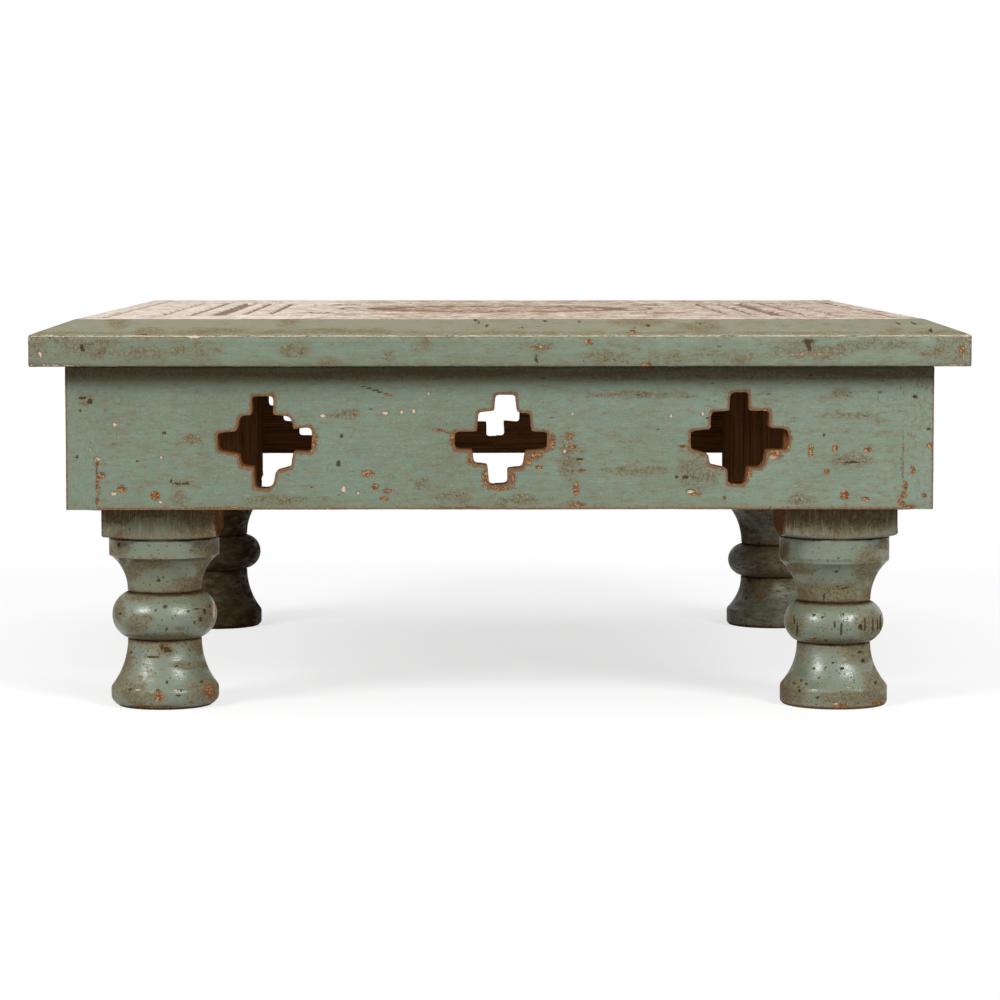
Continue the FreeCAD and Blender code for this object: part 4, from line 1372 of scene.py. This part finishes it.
def add_board(index, material):
    """One board of the panel, with its share of the carving."""
    low, high = board_boxes[index]
    reach = rail_inner - board_wear.gap
    near_y = -reach if index == 0 else low.y
    far_y = reach if index == len(board_boxes) - 1 else high.y
    piece = board_blank("board_" + str(index + 1), near_y, far_y)
    paint_values(piece, **board_values(points_of(piece), near_y, far_y))
    finish_piece(piece, "panel_board_" + str(index + 1), material)


# The aprons


def plain_cutout(dice):
    """The corners of a stepped cross, each strayed a little."""
    rows = len(cutout_row_shares)
    right = []
    for row, half in enumerate(cutout_row_shares):
        right += [(half, rows / 2 - row), (half, rows / 2 - row - 1)]
    corners = right + [(-x, z) for x, z in reversed(right)]
    stray = cutout_stray_share
    return [(x + dice.uniform(-stray, stray), z + dice.uniform(-stray, stray)) for x, z in corners]


def cutout_outlines(quarters):
    """The corners of an apron's three cut-outs, along X and Z."""
    apron = settings("apron")
    dice = np.random.RandomState(cutout_seed + quarters)
    outlines = []
    places = back_cutout_place_shares if quarters == 2 else cutout_place_shares
    heights = back_cutout_height_shares if quarters == 2 else cutout_height_shares
    for index, place in enumerate(places):
        corners = front_cutout_corner_shares[index] if quarters == 0 else plain_cutout(dice)
        height = apron_low + heights[index] * (apron_high - apron_low)
        middle = place * apron.pitch
        wide, high = apron.step_width, apron.step_height
        outlines.append([(middle + x * wide, height + z * high) for x, z in corners])
    return outlines


def cutout_tool(outline):
    """A prism through the front apron with rounded long edges, to cut one opening."""
    apron = settings("apron")
    past = 4 * mm
    piece = start(
        bpy.ops.mesh.primitive_circle_add, "cutout_tool", vertices=len(outline), radius=1, fill_type="NGON"
    )
    place_points(piece, np.array([(x, -apron_reach - past, z) for x, z in outline]))
    edit(piece)
    bpy.ops.mesh.select_all(action="SELECT")
    bpy.ops.mesh.extrude_region_move(TRANSFORM_OT_translate={"value": (0, apron_thickness + 2 * past, 0)})
    bpy.ops.mesh.select_all(action="SELECT")
    bpy.ops.mesh.normals_make_consistent(inside=False)
    bpy.ops.mesh.select_mode(type="EDGE")
    choose_edges(piece, lambda at, way: abs(way.y) > 0.9)
    bpy.ops.mesh.bevel(offset=apron.corner_round, segments=3, affect="EDGES")
    close()
    return piece


def rim_distance(x, z, outlines):
    """Distance from each point to the nearest cut-out's outline, seen from the front."""
    flat = np.column_stack((x, z))
    nearest = np.full(len(flat), top_reach)
    for outline in outlines:
        corners = [np.array(corner) for corner in outline]
        for first, second in zip(corners, corners[1:] + corners[:1]):
            nearest = np.minimum(nearest, line_distance(flat, first, second))
    return nearest


def apron_blank(side, half, outlines):
    """A front apron with its openings, remeshed finely so that its face can be worn."""
    apron = settings("apron")
    piece = start(
        bpy.ops.mesh.primitive_cube_add,
        "board_on_edge_" + side,
        size=1,
        location=(0, -(apron_reach + apron_inner) / 2, (apron_low + apron_high) / 2),
        scale=(2 * half, apron_thickness, apron_high - apron_low),
    )
    for outline in outlines:
        join(piece, cutout_tool(outline), "DIFFERENCE")
    focus(piece)
    piece.data.remesh_voxel_size = apron.grid
    piece.data.remesh_voxel_adaptivity = 0.0
    bpy.ops.object.voxel_remesh()
    modify(piece, "SMOOTH", factor=0.5, iterations=2)
    return piece


def true_ends(piece, quarters, half):
    """Puts the ends back in their corner joints, and leaves the rest free to be worn."""
    grid = settings("apron").grid
    local = turned_points(points_of(piece), -quarters)
    ends = half - np.abs(local[:, 0])
    seam_depth = 0 if quarters % 2 == 0 else apron_thickness
    aside = np.abs(local[:, 1] + apron_reach - seam_depth)
    seam = (ends < 2 * grid) & (aside < 2 * grid)
    at_end = seam & (ends < grid)
    local[at_end, 0] = np.sign(local[at_end, 0]) * half
    local[seam & (aside < grid), 1] = seam_depth - apron_reach
    place_points(piece, turned_points(local, quarters))
    weigh(piece, "free", smooth_step(np.hypot(ends, aside), apron_wear.seam_start, apron_wear.seam_end))


def apron_values(points, normals, quarters, half, outlines):
    """The values that an apron's material reads, and how deep each point is chipped."""
    worn = apron_wear
    crossways = quarters % 2
    x, y, z = turned_points(points, -quarters).T
    rim = rim_distance(x, z, outlines)
    depth = y + apron_reach
    end_gap = half - np.abs(x)
    end_face = smooth_step(-end_gap, -worn.end_start, -worn.end_full) * crossways
    front = most(smooth_step(worn.front_depth - depth, 0, worn.front_fade), end_face)
    low_edge = np.hypot(np.minimum(depth, worn.edge_depth), z - apron_low)
    end = np.hypot(depth, end_gap)
    even = worn.even_share + front
    likely = worn.likely_share + near(rim, worn.likely_rim)
    likely = likely + worn.likely_edge_share * near(low_edge, worn.likely_edge)
    likely = even * (likely + worn.likely_end_share * near(end, worn.likely_end))
    facing = smooth_step(-apron_reach + worn.facing_depth - points[:, 1], 0, worn.facing_fade)
    seen = None if quarters == 2 else facing
    marks = marks_of("apron", points, normals, likely, even, quarters, seen, facing)
    chips = front * most(marks["bare"], marks["pit"])
    # Olive and brown under the top: partly soiling, partly painted shade under the rails' overhang
    under_top = smooth_step(z, apron_high - worn.soil_start, apron_high - worn.soil_full)
    joint = 0 if crossways else near(apron_box_high.x - np.abs(x), worn.joint)
    wall = smooth_step(depth, worn.wall_start, worn.wall_full) * (rim < worn.wall_rim)
    arris = most(near(np.hypot(rim, depth), worn.rim), worn.low_edge_share * near(low_edge, worn.low_edge))
    if crossways:
        arris = most(arris, worn.end_share * near(end, worn.end))
    back = smooth_step(depth, worn.back_start, worn.back_full) * (1 - end_face)
    low_soil = worn.low_soil_share * near(z - apron_low, worn.low_soil)
    values = {name: mark if name == "stain" else mark * front for name, mark in marks.items()}
    values.update(
        arris=arris,
        grime=most(worn.joint_share * joint, worn.wall_share * wall),
        soiled=most(worn.soil_share * under_top, low_soil) + worn.stain_share * marks["stain"],
        inside=most(back, wall),
    )
    return values, chips


def add_apron(quarters, materials):
    """One pierced apron, sawn, rubbed and worn."""
    apron = settings("apron")
    side = side_names[quarters]
    half = side_box_high.y if quarters % 2 else apron_box_high.x
    outlines = cutout_outlines(quarters)
    piece = apron_blank(side, half, outlines)
    turn(piece, quarters)
    true_ends(piece, quarters, half)
    wear(piece, apron_wear.wave, apron.waviness, group="free")
    wear(piece, apron_wear.scuff, apron_wear.scuff_depth, group="free", detail=3)
    values, chips = apron_values(points_of(piece), normals_of(piece), quarters, half, outlines)
    weigh(piece, "chips", chips)
    wear(piece, apron_wear.chip, apron.chip_depth, group="chips")
    smooth_shading(piece, apron_smooth_angle)
    paint_values(piece, **values)
    finish_piece(piece, "apron_" + side, materials[quarters % 2])


# The legs


def arc_points(first, middle, last, step):
    """Points along the round arc through three places, both ends included."""
    a, b, c = (complex(*place) for place in (first, middle, last))
    ratio = (c - a) / (b - a)
    centre = a + (b - a) * (ratio - abs(ratio) ** 2) / (2j * ratio.imag)
    sweep = phase((b - centre) / (a - centre)) + phase((c - centre) / (b - centre))
    count = max(2, ceil(abs(sweep) * abs(a - centre) / step))
    places = [centre + (a - centre) * rect(1, sweep * index / count) for index in range(count + 1)]
    return [(place.real, place.imag) for place in places]


def line_points(first, last, step):
    count = max(1, ceil(hypot(last[0] - first[0], last[1] - first[1]) / step))
    shares = [index / count for index in range(count + 1)]
    return [(first[0] + (last[0] - first[0]) * s, first[1] + (last[1] - first[1]) * s) for s in shares]


def flare(narrow, wide):
    """The middle of an arc that leaves the narrow place upright and reaches the wide one."""
    run = wide[0] - narrow[0]
    rise = wide[1] - narrow[1]
    radius = (run ** 2 + rise ** 2) / (2 * run)
    half_angle = atan2(rise, radius - run) / 2
    return narrow[0] + radius * (1 - cos(half_angle)), narrow[1] + radius * sin(half_angle)


def bead_levels(corner):
    """The lower and upper ends of a leg's bead."""
    leg = settings("leg")
    middle = bead_height_shares[corner] * leg.turned_height
    half = bead_half_height_shares[corner] * leg.turned_height
    return middle - half, middle, middle + half


def turned_outline(corner):
    """The radius and height of each point up a leg, from the middle of its foot to that of its collar."""
    leg = settings("leg")
    step = leg.point_step
    bead_low, bead, bead_high = bead_levels(corner)
    foot, neck, quirk = leg.foot_radius, leg.neck_radius, leg.quirk
    foot_round = foot_round_shares[corner] * leg.foot_round
    rounding = (1 - cos(pi / 4)) * foot_round
    collar_low = leg.turned_height - collar_height_shares[corner] * leg.collar_height
    lip_low = collar_low - leg.lip_height
    soft = leg.foot_step / 2
    bell = (foot - leg.foot_step, leg.foot_band + soft)
    cove = (cove_radius_shares[corner] * leg.cove_radius, lip_low)
    lip = max(leg.lip_radius, cove[0] + soft)
    neck_low = (neck, bead_low - quirk)
    neck_high = (neck, bead_high + quirk)
    top = leg.turned_height + turning_overlap
    # Each stretch's end, its step as a share of the usual one, and the middle of its arc where it is round
    stretches = [
        ((foot - foot_round, 0), 6),
        ((foot, foot_round), 0.5, (foot - rounding, rounding)),
        ((foot, leg.foot_band - 2 * leg.foot_step), 1),
        (bell, 0.5, (foot - 0.3 * leg.foot_step, leg.foot_band - 0.7 * leg.foot_step)),
        (neck_low, 1, flare(neck_low, bell)),
        ((neck - quirk, bead_low), 0.5),
        ((neck + quirk / 2, bead_low + quirk / 3), 0.5),
        ((neck + quirk / 2, bead_high - quirk / 3), 1, (bead_radius_shares[corner] * foot, bead)),
        ((neck - quirk, bead_high), 0.5),
        (neck_high, 0.5),
        (cove, 1, flare(neck_high, cove)),
        ((lip, lip_low + soft), 0.5),
        ((lip, collar_low - soft), 0.5),
        ((leg.collar_radius, collar_low + soft), 0.5),
        ((leg.collar_radius, top), 1),
        ((0, top), 6),
    ]
    outline = []
    here = (0, 0)
    for end, share, *middle in stretches:
        trace = arc_points if middle else line_points
        outline += trace(here, *middle, end, share * step)[:-1]
        here = end
    return outline + [here]


def turned_piece(corner):
    """The turned part of a leg, spun from its outline."""
    leg = settings("leg")
    outline = turned_outline(corner)
    ring = {"vertices": len(outline), "radius": 1, "fill_type": "NOTHING"}
    piece = start(bpy.ops.mesh.primitive_circle_add, "turning", **ring)
    place_points(piece, np.array([(radius, 0, height) for radius, height in outline]))
    edit(piece, "EDGE")
    choose_edges(piece, lambda at, way: abs(way.z) > 0.99 and abs(at.x) < mm)
    bpy.ops.mesh.delete(type="EDGE_FACE")
    bpy.ops.mesh.select_all(action="SELECT")
    bpy.ops.mesh.spin(steps=leg.spin_steps, angle=2 * pi, center=(0, 0, 0), axis=(0, 0, 1))
    bpy.ops.mesh.select_all(action="SELECT")
    bpy.ops.mesh.remove_doubles(threshold=2 * tolerance)
    bpy.ops.mesh.normals_make_consistent(inside=False)
    close()
    return piece


def square_post(corner):
    """The square post, its lower corners taken up by the lathe."""
    leg = settings("leg")
    height = apron_high - leg.turned_height
    piece = start(
        bpy.ops.mesh.primitive_cube_add,
        "post",
        size=1,
        location=(0, 0, leg.turned_height + height / 2),
        scale=(leg.post_side, leg.post_side, height),
    )
    edit(piece)
    bpy.ops.mesh.select_all(action="SELECT")
    bpy.ops.mesh.subdivide(number_cuts=leg.post_cuts)
    close()
    points = points_of(piece)
    half = leg.post_side / 2
    out = np.clip(np.hypot(points[:, 0], points[:, 1]) - half, 0, None) / (hypot(half, half) - half)
    lowest = points[:, 2] < leg.turned_height + 10 * tolerance
    points[lowest, 2] += shoulder_rise_shares[corner] * leg.shoulder_rise * out[lowest]
    place_points(piece, points)
    edit(piece, "EDGE")
    bpy.ops.mesh.edges_select_sharp(sharpness=radians(60))
    bpy.ops.mesh.bevel(offset=leg.post_arris, segments=3, affect="EDGES")
    close()
    return piece


def leg_blank(corner, centre):
    """A leg before it is worn: the turning and the post above it, one piece of wood."""
    piece = turned_piece(corner)
    piece.name = corner + "_leg"
    piece.data.name = piece.name
    piece.location.x = turning_shift_shares[corner] * settings("leg").foot_radius
    settle(piece)
    join(piece, square_post(corner), "UNION")
    piece.location = (centre.x, centre.y, 0)
    settle(piece)
    return piece


def leg_edges(x, y, z):
    """How near each point is to the worn edges, and to the edges where the cream ground shows, with a
    painted highlight round the foot's band among them.
    """
    leg = settings("leg")
    worn = leg_wear
    half = leg.post_side / 2
    on_post = z > leg.turned_height - worn.post_start
    corner_gap = np.hypot(half - np.abs(x), half - np.abs(y))
    shoulder = leg.turned_height + worn.level_share * leg.shoulder_rise
    lower_gap = np.hypot(most(np.abs(x), np.abs(y)) - half, z - shoulder)
    post_edge = worn.post_share * near(corner_gap, worn.post_edge)
    post_edge = most(post_edge, worn.shoulder_share * near(lower_gap, worn.shoulder)) * on_post
    foot_edge = worn.foot_share * near(z - worn.foot_rise, worn.foot)
    foot_edge = foot_edge * (np.hypot(x, y) > worn.foot_out_share * leg.foot_radius)
    lip = worn.lip_share * near(z - (leg.turned_height - leg.collar_height), worn.lip)
    # Painted highlight: a cream line round the rim at the top of the foot's band
    band = worn.band_share * near(z - leg.foot_band + worn.band, worn.band_light)
    shoulder_light = worn.light_share * near(lower_gap, worn.shoulder_light) * on_post
    return most(post_edge, foot_edge, lip), most(band, shoulder_light)


def leg_values(points, normals, corner, centre):
    """The values that a leg's material reads."""
    leg = settings("leg")
    worn = leg_wear
    x, y, z = (points - (centre.x, centre.y, 0)).T
    bead_low, bead, bead_high = bead_levels(corner)
    top = leg.turned_height
    arris, cream = leg_edges(x, y, z)
    towards = smooth_step(-normals[:, 1], *worn.towards_shares) if corner.startswith("front") else None
    index = corner_names.index(corner)
    likely = worn.likely_share + arris
    marks = marks_of("leg", points, normals, likely, np.ones(len(points)), index, towards)
    stain = marks["stain"]

    block = smooth_step(z, top - worn.block_start, top + worn.block_full)
    block_top = near(z - apron_low, worn.block_top)
    # Painted shade: the back legs' faces that turn to the front are darkened
    rear = smooth_step(-normals[:, 1], *worn.rear_shares)
    hidden = smooth_step(z, apron_low - worn.hidden_start, apron_low + worn.hidden_full)
    sole = smooth_step(worn.sole - z, 0, worn.sole)
    # Dark brown: dirt in the grooves beside the bead and on the soles, painted shade below the block, below
    # the lip and on the post just under the aprons, and painted shade on the back legs
    grime = most(
        worn.groove_share * near(z - bead_low, worn.low_groove),
        worn.groove_share * near(z - bead_high, worn.high_groove),
        worn.shade_share * near(z - top + worn.shade_drop, worn.shade),
        worn.lip_shade_share * near(z - (top - leg.collar_height - leg.lip_height), worn.lip_shade),
        worn.hidden_share * hidden,
        rear_dark_shade_shares[corner] * rear,
        sole,
    )
    cove = near(z - (bead_high + top - leg.collar_height) / 2, worn.cove) * (z > bead_high)
    halo = most(near(z - bead_low, worn.halo), near(z - bead_high, worn.halo))
    # Painted shade: faces of a leg that turn to the left or right are darkened olive brown
    shaded_flank = smooth_step(np.abs(normals[:, 0]), *worn.flank_shares)
    # The blocks, and their tops just under the aprons, are darkened olive and brown: partly stain, partly
    # painted shade under the aprons
    soiled = worn.block_share * block + worn.cove_share * cove
    soiled = soiled + worn.foot_soil_share * near(z, worn.foot_soil) + worn.stain_share * stain
    soiled = soiled + worn.halo_share * halo + worn.flank_share * shaded_flank
    soiled = soiled + worn.block_top_share * block_top + rear_shade_shares[corner] * rear

    sideways = np.sign(centre.x) * normals[:, 0]
    inward = worn.inward_share * smooth_step(-sideways, *worn.inward_shares) * block
    if corner.startswith("back"):
        outward = sideways + np.sign(centre.y) * normals[:, 1]
        hidden = most(hidden, block * smooth_step(-outward, *worn.outward_shares))
    unpainted = smooth_step(z, apron_low, apron_low + worn.inside_rise)
    return dict(
        marks,
        arris=arris,
        bare=most(marks["bare"], inward),
        primer=most(marks["primer"], cream),
        # Brown on the blocks' tops just under the aprons: partly stain, partly painted shade
        stain=most(stain, worn.top_stain_share * block_top),
        grime=grime,
        soiled=soiled,
        inside=most(unpainted, hidden * (hidden > worn.inside_share), worn.sole_share * sole),
        turned=smooth_step(top - z, -worn.post_start, worn.post_start),
    )


def add_leg(corner, material):
    """One worn leg, flat under its foot."""
    box_low, box_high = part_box("leg_" + corner)
    centre = (box_low + box_high) / 2
    piece = leg_blank(corner, centre)
    wear(piece, leg_wear.wave, settings("leg").waviness)
    wear(piece, leg_wear.scuff, leg_wear.scuff_depth)
    points = points_of(piece)
    points[points[:, 2] < leg_wear.sole_depth, 2] = 0
    place_points(piece, points)
    smooth_shading(piece, leg_smooth_angle)
    paint_values(piece, **leg_values(points, normals_of(piece), corner, centre))
    finish_piece(piece, "leg_" + corner, material)


# Operators


class BAJOT_OT_rails(bpy.types.Operator):
    """Makes the four bevelled rails of the top's frame"""

    bl_idname = "bajot.rails"
    bl_label = "Rails"
    bl_options = {"REGISTER", "UNDO"}

    def execute(self, context):
        worn = dict(brush=0.85, creamy=1.0, barer=0.3, fringe=0.45, washed=True)
        materials = [painted("rail_paint_along_" + axis, axis, 0.46, **worn) for axis in "xy"]
        blank = rail_blank()
        for quarters in range(len(side_names)):
            add_rail(blank, quarters, materials)
        bpy.data.objects.remove(blank)
        return {"FINISHED"}


class BAJOT_OT_boards(bpy.types.Operator):
    """Makes the three carved boards of the panel"""

    bl_idname = "bajot.boards"
    bl_label = "Carved boards"
    bl_options = {"REGISTER", "UNDO"}

    def execute(self, context):
        material = washed_panel("panel_wash")
        for index in range(len(board_boxes)):
            add_board(index, material)
        return {"FINISHED"}


class BAJOT_OT_aprons(bpy.types.Operator):
    """Makes the four aprons with their stepped cut-outs"""

    bl_idname = "bajot.aprons"
    bl_label = "Aprons"
    bl_options = {"REGISTER", "UNDO"}

    def execute(self, context):
        worn = dict(creamy=0.30, barer=0.52)
        materials = [painted("apron_paint_along_" + axis, axis, 0.44, **worn) for axis in "xy"]
        for quarters in range(len(side_names)):
            add_apron(quarters, materials)
        return {"FINISHED"}


class BAJOT_OT_legs(bpy.types.Operator):
    """Makes the four turned legs with their posts"""

    bl_idname = "bajot.legs"
    bl_label = "Legs"
    bl_options = {"REGISTER", "UNDO"}

    def execute(self, context):
        worn = dict(brush=0.6, creamy=0.35, barer=0.5, painted_light_right=0.06)
        smooth = dict(speck_gap=3.4 * mm, sheen=0.8, grit=0.03, relief=0.34 * mm)
        material = painted("leg_paint", "z", 0.22, **worn, **smooth)
        for corner in corner_names:
            add_leg(corner, material)
        return {"FINISHED"}


class BAJOT_OT_hardware(bpy.types.Operator):
    """Gives the frame's battens, nails and screws their wood and iron"""

    bl_idname = "bajot.hardware"
    bl_label = "Battens, nails and screws"
    bl_options = {"REGISTER", "UNDO"}

    def execute(self, context):
        dress(("batten_left", "batten_right"), bare_timber("batten_timber", "y"))
        dress(("top_nails", "batten_screws"), rusty_iron("nail_iron"))
        dress(("post_nails", "corner_nails"), painted("nail_paint", "x", 0.5, creamy=0.5, nailed=True))
        return {"FINISHED"}


def dress(names, material):
    """Gives a material to whole nodes of the frame."""
    for name in names:
        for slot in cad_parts[name].material_slots:
            slot.material = material


def add_lamp(name, place, aim, side, power):
    """A square soft lamp aimed at a place."""
    bpy.ops.object.light_add(type="AREA", location=place)
    lamp = bpy.context.object
    lamp.name = name
    lamp.data.shape = "SQUARE"
    lamp.data.size = side
    lamp.data.energy = power
    lamp.rotation_euler = (Vector(aim) - Vector(place)).to_track_quat("-Z", "Y").to_euler()


def add_lamps():
    stage = settings("stage")
    add_lamp("left_lamp", stage.left_lamp, stage.aim, stage.front_side, stage.left_power)
    add_lamp("right_lamp", stage.right_lamp, stage.aim, stage.front_side, stage.right_power)
    add_lamp("top_lamp", stage.top_lamp, (0, 0, 0), stage.top_side, stage.top_power)


def add_camera():
    """The camera, fitted to the photograph."""
    stage = settings("stage")
    bpy.ops.object.camera_add(location=stage.eye, rotation=eye_axes().to_euler())
    camera = bpy.context.object
    camera.data.lens = stage.lens
    camera.data.sensor_width = stage.sensor
    camera.data.clip_end = 2 * stage.floor_side
    bpy.context.scene.camera = camera


def grey(share):
    return (share, share, share, 1)


def shown_ray(graph):
    """1 for the camera's rays and those reflected or let through, and 0 for the light itself."""
    rays = graph.tree.nodes.new("ShaderNodeLightPath").outputs
    return graph.most(rays["Is Camera Ray"], rays["Is Glossy Ray"], rays["Is Transmission Ray"])


def floor_material():
    """A pale floor that is white to the camera away from the table and sends little light up."""
    stage = settings("stage")
    graph = new_graph("pale_floor")
    distance = graph.add("VectorMath", {0: graph.place()}, output="Value", operation="LENGTH")
    away = graph.ramp(distance, stage.glow_start, stage.glow_end)
    seen = graph.add("BsdfDiffuse", {"Color": grey(stage.floor_grey)})
    glow = graph.add("Emission", {"Color": grey(1), "Strength": stage.floor_glow})
    near_floor = graph.add("AddShader", {0: seen, 1: glow})
    white = graph.add("Emission", {"Color": grey(1), "Strength": 1.0})
    shown = graph.add("MixShader", {0: away, 1: near_floor, 2: white})
    dull = graph.add("BsdfDiffuse", {"Color": grey(stage.bounce)})
    surface = graph.add("MixShader", {0: shown_ray(graph), 1: dull, 2: shown})
    graph.add("OutputMaterial", {"Surface": surface})
    return graph.owner


def pale_surroundings():
    """White all round to the camera, with a dim even light of its own."""
    graph = Graph(bpy.data.worlds.new("surroundings"))
    dim = graph.add("Background", {"Color": grey(1), "Strength": settings("stage").fill})
    white = graph.add("Background", {"Color": grey(1), "Strength": 1.0})
    surface = graph.add("MixShader", {0: shown_ray(graph), 1: dim, 2: white})
    graph.add("OutputWorld", {"Surface": surface})
    return graph.owner


class BAJOT_OT_stage(bpy.types.Operator):
    """Sets the floor, the soft lamps, the pale surroundings and the camera"""

    bl_idname = "bajot.stage"
    bl_label = "Stage"
    bl_options = {"REGISTER", "UNDO"}

    def execute(self, context):
        floor = start(bpy.ops.mesh.primitive_plane_add, "floor", size=settings("stage").floor_side)
        floor.data.materials.append(floor_material())
        add_lamps()
        add_camera()
        context.scene.world = pale_surroundings()
        context.scene.view_settings.view_transform = "Standard"
        return {"FINISHED"}


class BAJOT_PT_panel(bpy.types.Panel):
    """Lists the table's pieces and their sizes"""

    bl_idname = "BAJOT_PT_panel"
    bl_label = "Bajot low table"
    bl_space_type = "VIEW_3D"
    bl_region_type = "UI"
    bl_category = "Bajot"

    def draw(self, context):
        for group, settings_class in setting_classes.items():
            box = self.layout.box()
            box.label(text=settings_class.__doc__)
            for name in settings_class.__annotations__:
                box.prop(settings(group), name)
        for operator in operators:
            self.layout.operator(operator.bl_idname)


setting_classes = {
    "top": TopSettings,
    "carving": CarvingSettings,
    "apron": ApronSettings,
    "leg": LegSettings,
    "finish": FinishSettings,
    "stage": StageSettings,
}
operators = (
    BAJOT_OT_stage,
    BAJOT_OT_rails,
    BAJOT_OT_boards,
    BAJOT_OT_aprons,
    BAJOT_OT_legs,
    BAJOT_OT_hardware,
)


def register():
    for group, settings_class in setting_classes.items():
        bpy.utils.register_class(settings_class)
        setattr(bpy.types.Scene, "bajot_" + group, PointerProperty(type=settings_class))
    for operator in operators:
        bpy.utils.register_class(operator)
    bpy.utils.register_class(BAJOT_PT_panel)


def unregister():
    bpy.utils.unregister_class(BAJOT_PT_panel)
    for operator in reversed(operators):
        bpy.utils.unregister_class(operator)
    for group, settings_class in setting_classes.items():
        delattr(bpy.types.Scene, "bajot_" + group)
        bpy.utils.unregister_class(settings_class)


def main():
    register()
    bpy.ops.bajot.stage()
    bpy.ops.bajot.rails()
    bpy.ops.bajot.boards()
    bpy.ops.bajot.aprons()
    bpy.ops.bajot.legs()
    bpy.ops.bajot.hardware()


if __name__ == "__main__":
    main()
